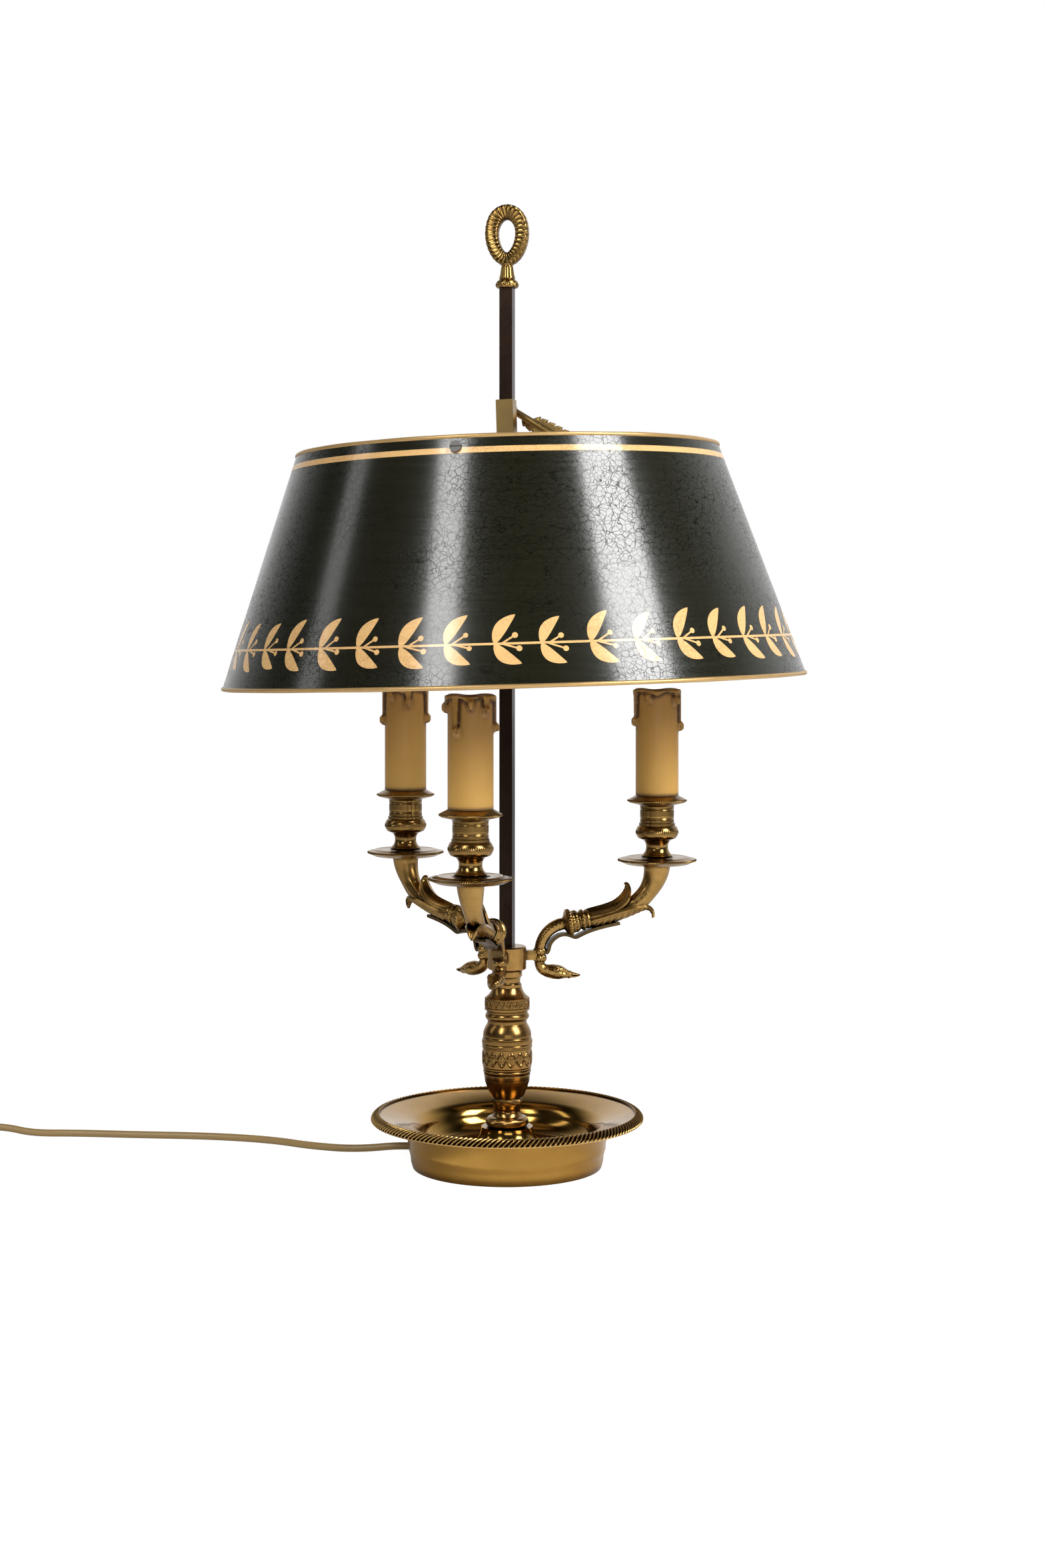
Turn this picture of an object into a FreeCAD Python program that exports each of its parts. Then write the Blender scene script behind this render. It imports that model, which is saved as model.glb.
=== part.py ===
import FreeCAD, Part
import math
import os

# Three-light table lamp with a dished foot, an adjustable shade on a square rod and a feathered key.
# Millimetres, +Z up, the origin in the middle of the underside of the felt, the front arm along -Y.
os.makedirs("parts", exist_ok=True)

# Foot
dish_radius = 85.3
dish_lip_radius = 80.0
dish_height = 34.0
bowl_radius = 57.4
bowl_edge_height = 29.5
bowl_floor_height = 10.5
skirt_radius = 59.0
dish_wall = 1.5
boss_radius = 16.0
boss_height = 24.5
boss_flare = 8.0
felt_thickness = 1.2
plate_thickness = 1.0
nut_across_flats = 17.0
nut_height = 6.0
washer_radius = 11.0
washer_thickness = 1.0

# Threaded tube and the turned stem on it
tube_radius = 5.0
tube_bore = 3.5
foot_ring_radius = 13.3
foot_ring_height = 6.0
scotia_radius = 8.2
foot_height = 14.0
baluster_radius = 15.7
baluster_height = 58.2
baluster_neck_radius = 12.3
ring_radius = 14.1
ring_height = 16.6
collar_radius = 9.4
collar_height = 9.2

# Hub and arms
hub_radius = 12.0
hub_height = 14.5
rod_socket_depth = 7.0
tube_in_hub = 6.5
arm_bearings = {"front": 0.0, "left": -123.5, "right": 113.0}
arm_height_on_hub = 8.5
neck_reach = 20.8
neck_radius = 3.25
neck_bend_radius = 17.2
neck_bend_rise = 2.0
arm_slope = 10.0
ligature_radius = 4.1
ligature_height = 8.4
ferrule_radius = 8.4
ferrule_thickness = 3.0
stalk_radius = 4.4
stalk_length = 31.0
calyx_wall = 1.2
cup_reach = 96.3
pan_height_on_arm = 55.0
horn_top_radius = 8.4
cover_thickness = 2.0
cover_width = 6.6
stud_radius = 2.0
stud_length = 12.0

# Drip pan, cup, candle and lampholder
pan_radius = 24.8
pan_top_radius = 19.2
pan_thickness = 5.2
nipple_radius = 5.0
nipple_bore = 3.5
nipple_in_horn = 8.0
cup_waist_radius = 7.0
cup_waist_height = 11.6
cup_ring_radius = 13.4
cup_ring_height = 8.8
cup_body_radius = 10.7
cup_body_height = 12.6
cup_rim_radius = 18.8
cup_rim_height = 5.8
candle_seat_depth = 3.0
candle_radius = 13.5
candle_wall = 1.4
candle_length = 70.5
holder_clearance = 0.3
holder_below_top = 8.0
holder_length = 44.0
screw_shell_bore = 7.0
screw_shell_wall = 0.4
screw_shell_length = 26.0
contact_radius = 2.5
contact_height = 3.0
contact_space_radius = 8.6

# Square rod and finial
rod_width = 8.2
rod_top = 548.3
peg_radius = 2.0
peg_length = 8.0
finial_flange_radius = 7.2
finial_flange_height = 4.7
finial_neck_radius = 4.2
finial_neck_height = 8.6
finial_ring_width = 28.0
finial_ring_height = 39.2
finial_hole_width = 13.0
finial_hole_height = 19.3
finial_depth = 9.5
finial_rounding = 2.6

# Sleeve, clamp and arrow key
sleeve_play = 0.8
sleeve_wall = 0.5
sleeve_length = 50.0
sleeve_level = 453.3
rock_share = 0.93
clamp_below_top = 4.6
clamp_boss_radius = 3.8
clamp_boss_length = 4.2
key_screw_radius = 2.0
key_clearance = 0.05
key_end_gap = 0.1
key_collar_radius = 3.5
key_collar_length = 7.0
key_shaft_radius = 2.2
key_angle = -33.0
vane_start = 19.0
vane_end = 42.5
vane_half_width = 6.0
vane_thickness = 1.6
vane_lobes = 5

# Shade
shade_top_radius = 131.5
shade_bottom_radius = 181.0
shade_height = 142.6
shade_top_below_clamp = 28.0
shade_wall = 0.8
shade_rim_radius = 1.3
spider_bearings = {"front": 0.0, "left": -120.0, "right": 120.0}
spider_below_rim = 10.6
spider_rise = 4.2
spider_width = 5.0
spider_thickness = 2.4
tab_width = 9.0
tab_thickness = 1.4
tab_below_rim = 2.0
tab_height = 11.5
shade_screw_below_rim = 6.2
shade_screw_head_radius = 3.5
shade_screw_head_height = 1.5
shade_screw_radius = 1.5
shade_screw_slot = 0.7
shade_nut_radius = 2.8
shade_nut_height = 1.6
seat_gap = 0.05

# Cord, switch and plug
cord_radius = 2.35
cord_exit_height = 5.6
cord_exit_angle = 165.5
bush_radius = 3.3
bush_flange_radius = 3.9
bush_flange_thickness = 1.2
bush_length = 7.2
bush_standoff = 2.4
switch_angle = 190.8
switch_entry = (-352.0, 4.0)
switch_length = 53.0
switch_width = 25.0
switch_height = 19.0
switch_split = 10.0
switch_wall = 1.8
switch_cable_height = 7.0
switch_corner = 7.0
rocker_length = 22.0
rocker_width = 11.0
rocker_crown = 3.4
rocker_tilt = 8.0
rocker_pin_radius = 1.2
rocker_pin_clearance = 0.05
rocker_pin_length = 1.2
rocker_side_gap = 0.35
coil_layers = 4
coil_turns_a_layer = 2
coil_gap = 0.45
coil_inner_radius = 22.0
coil_last_share = 0.22
plug_length = 34.0
plug_width = 35.0
plug_thickness = 13.7
plug_relief_length = 22.0
pin_radius = 2.0
pin_length = 19.0
pin_spacing = 18.6

# Heights that follow from the stack
foot_top = boss_height + foot_height
baluster_top = foot_top + baluster_height
ring_top = baluster_top + ring_height
collar_top = ring_top + collar_height
hub_top = collar_top + hub_height
arm_level = collar_top + arm_height_on_hub
pan_bottom = arm_level + pan_height_on_arm
pan_top = pan_bottom + pan_thickness
cup_ring_bottom = pan_top + cup_waist_height
cup_body_bottom = cup_ring_bottom + cup_ring_height
cup_rim_bottom = cup_body_bottom + cup_body_height
cup_top = cup_rim_bottom + cup_rim_height
candle_bottom = cup_top - candle_seat_depth
candle_top = candle_bottom + candle_length
holder_top = candle_top - holder_below_top
holder_bottom = holder_top - holder_length
holder_radius = candle_radius - candle_wall - holder_clearance
sleeve_half = rod_width / 2 + sleeve_play + sleeve_wall
sleeve_top = sleeve_level + sleeve_length / 2
rock_angle = math.degrees(math.asin(2 * sleeve_play / sleeve_length)) * rock_share
clamp_level = sleeve_top - clamp_below_top
shade_top = clamp_level - shade_top_below_clamp
shade_bottom = shade_top - shade_height
shade_lean = math.atan2(shade_bottom_radius - shade_top_radius, shade_height)
pitch = 2 * cord_radius + coil_gap

up = FreeCAD.Vector(0, 0, 1)
origin = FreeCAD.Vector(0, 0, 0)


def at(x, y, z):
    return FreeCAD.Vector(x, y, z)


def polar(radius, bearing, height=0.0):
    # Bearings start at the front, -Y, and turn toward +X.
    turn = math.radians(bearing)
    return at(radius * math.sin(turn), -radius * math.cos(turn), height)


def outline(start, steps):
    # A closed outline in the XZ plane: (x, z) is a line's end, (x, z, x, z) an arc's middle and end.
    edges = []
    here = at(start[0], 0, start[1])
    for step in steps + [start]:
        there = at(step[-2], 0, step[-1])
        if len(step) == 4:
            edges.append(Part.Arc(here, at(step[0], 0, step[1]), there).toShape())
        elif here.distanceToPoint(there) > 1e-6:
            edges.append(Part.LineSegment(here, there).toShape())
        here = there
    return Part.Face(Part.Wire(edges))


def turned(start, *steps):
    return outline(start, list(steps)).revolve(origin, up, 360)


def rod_between(radius, start, end):
    return Part.makeCylinder(radius, start.distanceToPoint(end), start, end.sub(start))


def block(x_size, y_size, z_size, centre_x, centre_y, low_z):
    return Part.makeBox(x_size, y_size, z_size, at(centre_x - x_size / 2, centre_y - y_size / 2, low_z))


def hexagon(across_flats, height, low_z):
    corners = [polar(across_flats / math.sqrt(3), 60 * i, low_z) for i in range(7)]
    return Part.Face(Part.makePolygon(corners)).extrude(at(0, 0, height))


def oval(x, z, slope, half_height, half_width, tall):
    # An elliptical section square to a path in the XZ plane that climbs at this slope.
    turn = math.radians(slope)
    centre = at(x, 0, z)
    rise = centre.add(at(-half_height * math.sin(turn), 0, half_height * math.cos(turn)))
    side = centre.add(at(0, half_width, 0))
    first, second = (rise, side) if tall else (side, rise)
    return Part.Wire([Part.Ellipse(first, second, centre).toShape()])


def turned_out(shape, bearing):
    # A piece made along +X goes to its bearing.
    placed = shape.copy()
    placed.rotate(origin, up, bearing - 90)
    return placed


def rocked(shape):
    # The shade's group rocks on the rod by its sleeve's play, to the left seen from the front.
    placed = shape.copy()
    placed.rotate(at(0, 0, sleeve_level), at(0, -1, 0), rock_angle)
    return placed


def write(name, shape):
    shape.exportStep("parts/" + name + ".step")


def write_group(name, shapes):
    write(name, Part.makeCompound(shapes))


# The foot: one thin casting with a bowl, a central boss and a skirt
def base_dish():
    skirt_step = skirt_radius + 1.4
    hollow = skirt_radius - dish_wall
    boss_foot = boss_radius + boss_flare
    floor_edge = bowl_radius - 11.5
    outside = turned(
        (0.0, 0.0),
        (skirt_radius, 0.0),
        (skirt_radius + 1.0, 3.3),
        (skirt_step, 7.5),
        (skirt_radius + 2.7, 11.7),
        (skirt_radius + 4.4, 20.5, skirt_radius + 9.0, dish_height - 6.0),
        (dish_radius - 1.0, dish_height - 5.4),
        (dish_radius, dish_height - 4.4),
        (dish_radius, dish_height - 3.6),
        (dish_lip_radius + 0.7, dish_height),
        (dish_lip_radius - 0.3, dish_height),
        (dish_lip_radius - 0.8, dish_height - 2.5),
        (bowl_radius, bowl_edge_height),
        (bowl_radius - 2.6, bowl_floor_height + 6.0, floor_edge, bowl_floor_height),
        (boss_foot + 2.0, bowl_floor_height),
        (boss_radius + 2.6, boss_height - 7.5, boss_radius, boss_height),
        (0.0, boss_height),
    )
    inside = turned(
        (0.0, -1.0),
        (hollow, -1.0),
        (hollow, felt_thickness + plate_thickness + 1.5),
        (skirt_step - dish_wall, 7.5),
        (skirt_radius + 2.7 - dish_wall, 11.7),
        (skirt_radius + 3.0, bowl_edge_height - 4.5),
        (bowl_radius + 1.6, bowl_edge_height - 3.0),
        (bowl_radius - 1.0, bowl_floor_height + 5.2, floor_edge, bowl_floor_height - dish_wall),
        (boss_foot + 1.2, bowl_floor_height - dish_wall),
        (boss_radius + 0.9, boss_height - 8.5, boss_radius - dish_wall, boss_height - dish_wall),
        (0.0, boss_height - dish_wall),
    )
    bore = Part.makeCylinder(tube_radius, boss_height + 2)
    dish = outside.cut(inside).cut(bore)
    angle = math.radians(cord_exit_angle)
    way = at(math.cos(angle), math.sin(angle), 0)
    start = way * (hollow - 6)
    return dish.cut(Part.makeCylinder(bush_radius, 20, start.add(at(0, 0, cord_exit_height)), way))


felt_radius = skirt_radius - dish_wall
write("base_dish", base_dish())
write("felt_pad", Part.makeCylinder(felt_radius, felt_thickness))
write("base_plate", Part.makeCylinder(felt_radius, plate_thickness, at(0, 0, felt_thickness)))

washer_bottom = boss_height - dish_wall - washer_thickness
nut_bottom = washer_bottom - nut_height
tube_bottom = nut_bottom - 2.0
tube_top = collar_top + tube_in_hub
washer = Part.makeCylinder(washer_radius, washer_thickness, at(0, 0, washer_bottom))
nut = hexagon(nut_across_flats, nut_height, nut_bottom)
tube_space = Part.makeCylinder(tube_radius, tube_top - tube_bottom, at(0, 0, tube_bottom))
tube_hole = Part.makeCylinder(tube_bore, tube_top - tube_bottom, at(0, 0, tube_bottom))
write("base_washer", washer.cut(tube_space))
write("base_nut", nut.cut(tube_space))
write("stem_tube", tube_space.cut(tube_hole))


# The turned stem, a stack of four pieces clamped on the tube
def stem_foot():
    ring_top_height = boss_height + foot_ring_height
    return turned(
        (tube_radius, boss_height),
        (foot_ring_radius - 1.6, boss_height),
        (foot_ring_radius, boss_height + foot_ring_height / 2, foot_ring_radius - 1.6, ring_top_height),
        (scotia_radius + 1.3, ring_top_height + 0.6),
        (scotia_radius, ring_top_height + 3.6, scotia_radius + 0.8, foot_top - 0.6),
        (scotia_radius + 0.8, foot_top),
        (tube_radius, foot_top),
    )


def stem_baluster():
    wide = baluster_radius
    top = baluster_top
    return turned(
        (tube_radius, foot_top),
        (wide - 6.7, foot_top),
        (wide - 6.2, foot_top + 2.0, wide - 6.7, foot_top + 4.0),
        (wide - 5.6, foot_top + 4.8),
        (wide - 2.9, foot_top + 11.0, wide - 1.1, foot_top + 19.5),
        (wide - 0.7, foot_top + 20.5),
        (wide - 0.7, foot_top + 23.0),
        (wide - 0.4, foot_top + 23.6),
        (wide - 0.4, foot_top + 35.2),
        (wide, foot_top + 35.6),
        (wide, foot_top + 40.6),
        (wide - 0.5, foot_top + 41.0),
        (wide - 1.1, foot_top + 46.0, baluster_neck_radius + 0.5, top - 8.4),
        (baluster_neck_radius, top - 7.7),
        (baluster_neck_radius, top - 5.6),
        (baluster_neck_radius + 1.4, top - 3.4, baluster_neck_radius + 0.5, top - 1.2),
        (baluster_neck_radius + 0.5, top),
        (tube_radius, top),
    )


def stem_ring():
    low = baluster_top
    return turned(
        (tube_radius, low),
        (ring_radius - 1.2, low),
        (ring_radius - 1.2, low + 0.8),
        (ring_radius, low + 0.8),
        (ring_radius, low + 2.0),
        (ring_radius - 0.4, low + 2.3),
        (ring_radius - 0.4, low + 6.6),
        (ring_radius - 0.2, low + 6.9),
        (ring_radius - 0.2, low + 8.2),
        (ring_radius - 1.8, low + 9.4),
        (ring_radius - 3.6, low + 11.6, collar_radius - 0.3, low + 15.0),
        (collar_radius - 0.3, ring_top),
        (tube_radius, ring_top),
    )


def stem_collar():
    return turned(
        (tube_radius, ring_top),
        (collar_radius - 0.9, ring_top),
        (collar_radius - 1.2, ring_top + 2.4, collar_radius - 0.6, ring_top + 4.6),
        (collar_radius - 0.1, ring_top + 4.9),
        (collar_radius, ring_top + 7.0, collar_radius - 0.1, collar_top),
        (tube_radius, collar_top),
    )


write("stem_foot", stem_foot())
write("stem_baluster", stem_baluster())
write("stem_ring", stem_ring())
write("stem_collar", stem_collar())


# The hub, with a bore from below for the tube and a square socket from above for the rod
def stud(bearing):
    start = hub_radius - 5.0
    piece = Part.makeCylinder(stud_radius, stud_length, at(start, 0, arm_level), at(1, 0, 0))
    return turned_out(piece, bearing)


def arm_hub():
    drum = turned(
        (0.0, collar_top),
        (hub_radius - 0.6, collar_top),
        (hub_radius, collar_top + 0.6),
        (hub_radius, hub_top - 0.8),
        (hub_radius - 0.8, hub_top),
        (0.0, hub_top),
    )
    socket = block(rod_width, rod_width, rod_socket_depth, 0, 0, hub_top - rod_socket_depth)
    drum = drum.cut(tube_space).cut(socket)
    for bearing in arm_bearings.values():
        drum = drum.cut(stud(bearing))
    return drum


write("arm_hub", arm_hub())
write_group("arm_screws", [stud(bearing) for bearing in arm_bearings.values()])

# The arm: a bird's-neck scroll through a ligature, a ferrule and stalk, and a leaf calyx
bend_start = arm_level + neck_bend_rise
bend_centre = at(neck_reach + neck_bend_radius, 0, bend_start)
bend_turn = 90.0 - arm_slope
slope = math.radians(arm_slope)
stalk_start = at(
    bend_centre.x - neck_bend_radius * math.sin(slope), 0, bend_start + neck_bend_radius * math.cos(slope)
)


def on_stalk(distance):
    return stalk_start.add(at(distance * math.cos(slope), 0, distance * math.sin(slope)))


def head_scroll():
    # From the ligature the neck turns outward into a bird's head with an open beak.
    low = arm_level - 4.0
    sections = [
        oval(neck_reach, low + 2.0, -90, neck_radius - 0.05, neck_radius, False),
        oval(neck_reach + 0.5, low - 2.6, -74, 3.3, 3.6, False),
        oval(neck_reach + 2.8, low - 5.2, -40, 4.0, 4.4, False),
        oval(neck_reach + 7.2, low - 6.7, -8, 4.7, 5.4, False),
        oval(neck_reach + 12.2, low - 7.1, -5, 4.6, 5.3, False),
        oval(neck_reach + 17.5, low - 7.8, -9, 3.3, 4.0, False),
        oval(neck_reach + 21.7, low - 8.5, -10, 1.8, 2.4, False),
        oval(neck_reach + 25.3, low - 9.2, -10, 0.8, 1.1, False),
    ]
    head = Part.makeLoft(sections, True, False)
    gape = Part.Face(
        Part.makePolygon(
            [
                at(neck_reach + 18.0, -6, low - 7.9),
                at(neck_reach + 27.0, -6, low - 8.9),
                at(neck_reach + 27.0, -6, low - 10.3),
                at(neck_reach + 18.0, -6, low - 7.9),
            ]
        )
    ).extrude(at(0, 12, 0))
    head = head.cut(gape)
    for side in (-1, 1):
        head = head.fuse(Part.makeSphere(1.5, at(neck_reach + 12.6, side * 4.4, low - 5.6)))
    return head


def ligature():
    half = ligature_height / 2
    low = arm_level - 4.0
    face = outline(
        (neck_reach, low),
        [
            (neck_reach + ligature_radius - 0.7, low),
            (neck_reach + ligature_radius, low + half / 2, neck_reach + ligature_radius - 0.7, low + half),
            (
                neck_reach + ligature_radius,
                low + 1.5 * half,
                neck_reach + ligature_radius - 0.7,
                low + ligature_height,
            ),
            (neck_reach, low + ligature_height),
        ],
    )
    rings = face.revolve(at(neck_reach, 0, 0), up, 360)
    reach = neck_reach - hub_radius + 2.0
    lug = Part.makeBox(reach, 6.0, 6.0, at(hub_radius - 2.0, -3.0, arm_level - 3.0))
    return rings.fuse(lug).cut(Part.makeCylinder(hub_radius, 30, at(0, 0, arm_level - 15)))


def neck():
    ring = Part.makeCircle(neck_radius, at(neck_reach, 0, bend_start), up)
    bend = Part.Face(Part.Wire([ring])).revolve(bend_centre, at(0, 1, 0), bend_turn)
    return bend.fuse(rod_between(neck_radius, at(neck_reach, 0, arm_level), at(neck_reach, 0, bend_start)))


def ferrule_and_stalk():
    middle = 3.3 + ferrule_thickness
    shape = turned(
        (0.0, 0.0),
        (neck_radius, 0.0),
        (neck_radius, 2.6),
        (neck_radius + 2.0, 4.4),
        (ferrule_radius - 0.5, middle - ferrule_thickness / 2),
        (ferrule_radius, middle, ferrule_radius - 0.5, middle + ferrule_thickness / 2),
        (stalk_radius + 1.8, middle + 1.8),
        (stalk_radius + 2.6, middle + 3.7, stalk_radius + 1.8, middle + 5.5),
        (stalk_radius + 1.3, middle + 5.8),
        (stalk_radius + 2.1, middle + 7.3, stalk_radius + 0.9, middle + 8.8),
        (stalk_radius, middle + 10.5),
        (stalk_radius, stalk_length - 2.8),
        (stalk_radius + 1.4, stalk_length - 1.4, stalk_radius + 0.6, stalk_length),
        (0.0, stalk_length),
    )
    shape.rotate(origin, at(0, 1, 0), bend_turn)
    shape.translate(stalk_start)
    return shape


def calyx(inset):
    # The leafy cup that holds the horn; its mouth slants from a raised upper lip to a long lower leaf.
    near, far, over = (7.0, 9.0, 1.2) if inset else (-1.0, 6.5, 0.0)
    root = on_stalk(stalk_length + near)
    body = on_stalk(stalk_length + far)
    mouth = on_stalk(stalk_length + 20.5)
    root_radius = stalk_radius + 1.0 if inset else stalk_radius + 0.2
    body_radius = stalk_radius + 1.6 if inset else stalk_radius + 2.4
    sections = [
        oval(root.x, root.z, arm_slope, root_radius, root_radius - 0.05, True),
        oval(body.x, body.z + 0.2, arm_slope + 5, body_radius, body_radius - 0.1, True),
        oval(body.x + 6.5, body.z + 2.2, arm_slope + 19, 9.7 - inset, 8.6 - inset, True),
        oval(mouth.x + 0.4 + over, mouth.z + 2.5 + over, 45, 12.9 - inset, 9.8 - inset, True),
    ]
    return Part.makeLoft(sections, True, False)


arm_core = head_scroll().fuse(neck()).fuse(ligature()).fuse(ferrule_and_stalk())
arm_core = arm_core.fuse(calyx(0).cut(calyx(calyx_wall))).removeSplitter()
stud_hole = Part.makeCylinder(stud_radius, stud_length, at(hub_radius - 5.0, 0, arm_level), at(1, 0, 0))
arm_core = arm_core.cut(stud_hole)


# The wire cover: a thin strip bent along the arm's underside from the ligature to the calyx
def wire_cover():
    low_edge = [(4.0, 0.2), (5.9, 2.2), (7.0, 6.0), (9.6, 9.3), (14.0, 11.4), (18.2, 10.9), (22.0, 9.6),
                (26.0, 10.9), (33.5, 13.9), (44.6, 16.6), (51.0, 17.8)]
    lower = [at(neck_reach + x, -cover_width / 2, arm_level + z) for x, z in low_edge]
    upper = []
    for index, here in enumerate(lower):
        before = lower[max(index - 1, 0)]
        after = lower[min(index + 1, len(lower) - 1)]
        run = after.sub(before).normalize()
        upper.append(here.add(at(-run.z, 0, run.x) * cover_thickness))
    under = Part.BSplineCurve()
    under.interpolate(lower)
    over = Part.BSplineCurve()
    over.interpolate(upper)
    ends = [Part.LineSegment(lower[-1], upper[-1]).toShape(), Part.LineSegment(upper[0], lower[0]).toShape()]
    face = Part.Face(Part.Wire([under.toShape(), ends[0], over.toShape(), ends[1]]))
    return face.extrude(at(0, cover_width, 0)).cut(arm_core)


def horn():
    # A bent trumpet from the calyx up to the pan.
    root = on_stalk(stalk_length + 7.0)
    sections = [
        oval(root.x, root.z, arm_slope, 4.3, 4.2, True),
        oval(root.x + 7.5, root.z + 1.6, arm_slope + 8, 4.6, 4.5, True),
        oval(cup_reach - 9.6, pan_bottom - 25.6, 42, 5.1, 5.0, True),
        oval(cup_reach - 5.0, pan_bottom - 19.4, 61, 5.9, 5.8, True),
        oval(cup_reach - 1.5, pan_bottom - 11.0, 76, 7.4, 7.3, True),
        oval(cup_reach, pan_bottom - 3.0, 89.9, horn_top_radius, horn_top_radius - 0.05, True),
        oval(cup_reach, pan_bottom, 89.9, horn_top_radius, horn_top_radius - 0.05, True),
    ]
    trumpet = Part.makeLoft(sections, True, False)
    above = block(60, 60, 10, cup_reach, 0, pan_bottom)
    return trumpet.cut(above).cut(nipple_space)


nipple_bottom = pan_bottom - nipple_in_horn
nipple_top = holder_bottom + 6.0
nipple_space = Part.makeCylinder(nipple_radius, nipple_top - nipple_bottom, at(cup_reach, 0, nipple_bottom))
nipple_hole = Part.makeCylinder(nipple_bore, nipple_top - nipple_bottom, at(cup_reach, 0, nipple_bottom))
nipple = nipple_space.cut(nipple_hole)
cover_core = wire_cover()
horn_core = horn()


def on_cup(shape):
    placed = shape.copy()
    placed.translate(at(cup_reach, 0, 0))
    return placed


def drip_pan():
    return turned(
        (nipple_radius, pan_bottom),
        (pan_top_radius + 0.8, pan_bottom),
        (pan_radius, pan_bottom + 1.4),
        (pan_radius, pan_bottom + 2.4),
        (pan_top_radius, pan_top),
        (nipple_radius, pan_top),
    )


def candle_cup():
    body = cup_body_radius
    return turned(
        (nipple_radius, pan_top),
        (cup_waist_radius + 2.6, pan_top),
        (cup_waist_radius + 2.6, pan_top + 1.0),
        (cup_waist_radius, pan_top + 5.8, cup_waist_radius + 1.8, cup_ring_bottom - 0.8),
        (cup_ring_radius - 1.7, cup_ring_bottom),
        (cup_ring_radius, cup_ring_bottom + 3.8, cup_ring_radius - 1.1, cup_ring_bottom + 7.4),
        (body + 0.5, cup_body_bottom - 0.6),
        (body + 0.5, cup_body_bottom + 1.0),
        (body, cup_body_bottom + 1.6),
        (body, cup_rim_bottom - 1.2),
        (body + 1.6, cup_rim_bottom),
        (cup_rim_radius - 0.6, cup_rim_bottom + 0.6),
        (cup_rim_radius, cup_rim_bottom + 1.4),
        (cup_rim_radius, cup_top - 0.8),
        (cup_rim_radius - 0.6, cup_top),
        (candle_radius, cup_top),
        (candle_radius, candle_bottom),
        (nipple_radius, candle_bottom),
    )


def candle():
    bore = candle_radius - candle_wall
    return turned(
        (bore, candle_bottom),
        (candle_radius, candle_bottom),
        (candle_radius, candle_top - 4.2),
        (candle_radius + 0.9, candle_top - 1.9, candle_radius, candle_top),
        (bore, candle_top),
    )


def lampholder():
    shell_radius = screw_shell_bore + screw_shell_wall
    shell_floor = holder_top - 2.0 - screw_shell_length
    return turned(
        (nipple_radius, holder_bottom),
        (holder_radius - 1.6, holder_bottom),
        (holder_radius - 1.6, holder_bottom + 5.0),
        (holder_radius, holder_bottom + 7.0),
        (holder_radius, holder_top - 1.0),
        (holder_radius - 1.0, holder_top),
        (shell_radius, holder_top),
        (shell_radius, shell_floor),
        (contact_space_radius, shell_floor),
        (contact_space_radius, shell_floor - contact_height - 2.0),
        (0.0, shell_floor - contact_height - 2.0),
        (0.0, nipple_top),
        (nipple_radius, nipple_top),
    )


def screw_shell():
    low = holder_top - 2.0 - screw_shell_length
    outer = screw_shell_bore + screw_shell_wall
    return turned((screw_shell_bore, low), (outer, low), (outer, low + screw_shell_length),
                  (screw_shell_bore, low + screw_shell_length))


def contact():
    low = holder_top - 2.0 - screw_shell_length - contact_height - 2.0
    return turned(
        (0.0, low),
        (contact_radius + 2.0, low),
        (contact_radius + 2.0, low + 0.8),
        (contact_radius, low + 0.8),
        (contact_radius, low + contact_height - 0.8),
        (contact_radius * 0.5, low + contact_height),
        (0.0, low + contact_height),
    )


for side, bearing in arm_bearings.items():
    write("arm_" + side, turned_out(arm_core, bearing))
    write("wire_cover_" + side, turned_out(cover_core, bearing))
    write("horn_" + side, turned_out(horn_core, bearing))
    write("drip_pan_" + side, turned_out(on_cup(drip_pan()), bearing))
    write("candle_cup_" + side, turned_out(on_cup(candle_cup()), bearing))
    write("candle_" + side, turned_out(on_cup(candle()), bearing))
    write("lampholder_" + side, turned_out(on_cup(lampholder()), bearing))
    write("screw_shell_" + side, turned_out(on_cup(screw_shell()), bearing))
write_group("holder_contacts", [turned_out(on_cup(contact()), bearing) for bearing in arm_bearings.values()])
write_group("cup_nipples", [turned_out(nipple, bearing) for bearing in arm_bearings.values()])

# The square rod and the oval ring finial that closes it
rod_bottom = hub_top - rod_socket_depth
peg_space = Part.makeCylinder(peg_radius, peg_length, at(0, 0, rod_top - peg_length))
rod = block(rod_width, rod_width, rod_top - rod_bottom, 0, 0, rod_bottom).cut(peg_space)
write("square_rod", rod)


def finial():
    flange_top = rod_top + finial_flange_height
    neck_top = flange_top + finial_neck_height
    stalk = turned(
        (0.0, rod_top),
        (finial_flange_radius - 0.8, rod_top),
        (finial_flange_radius, rod_top + 0.8),
        (finial_flange_radius, flange_top - 1.6),
        (finial_neck_radius + 0.9, flange_top),
        (finial_neck_radius, flange_top + 5.0, finial_neck_radius, neck_top),
        (0.0, neck_top + 2.5),
    )
    middle = neck_top - 0.6 + finial_ring_height / 2
    centre = at(0, -finial_depth / 2, middle)
    outer = Part.Ellipse(
        centre.add(at(0, 0, finial_ring_height / 2)), centre.add(at(finial_ring_width / 2, 0, 0)), centre
    )
    ring = Part.Face(Part.Wire([outer.toShape()])).extrude(at(0, finial_depth, 0))
    ring = ring.makeFillet(finial_rounding, [edge for edge in ring.Edges if edge.isClosed()])
    inner_centre = centre.sub(at(0, 1, 0.8))
    inner = Part.Ellipse(
        inner_centre.add(at(0, 0, finial_hole_height / 2)),
        inner_centre.add(at(finial_hole_width / 2, 0, 0)),
        inner_centre,
    )
    hole = Part.Face(Part.Wire([inner.toShape()])).extrude(at(0, finial_depth + 2, 0))
    return ring.cut(hole).fuse(stalk).fuse(peg_space).removeSplitter()


write("finial", finial())

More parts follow.
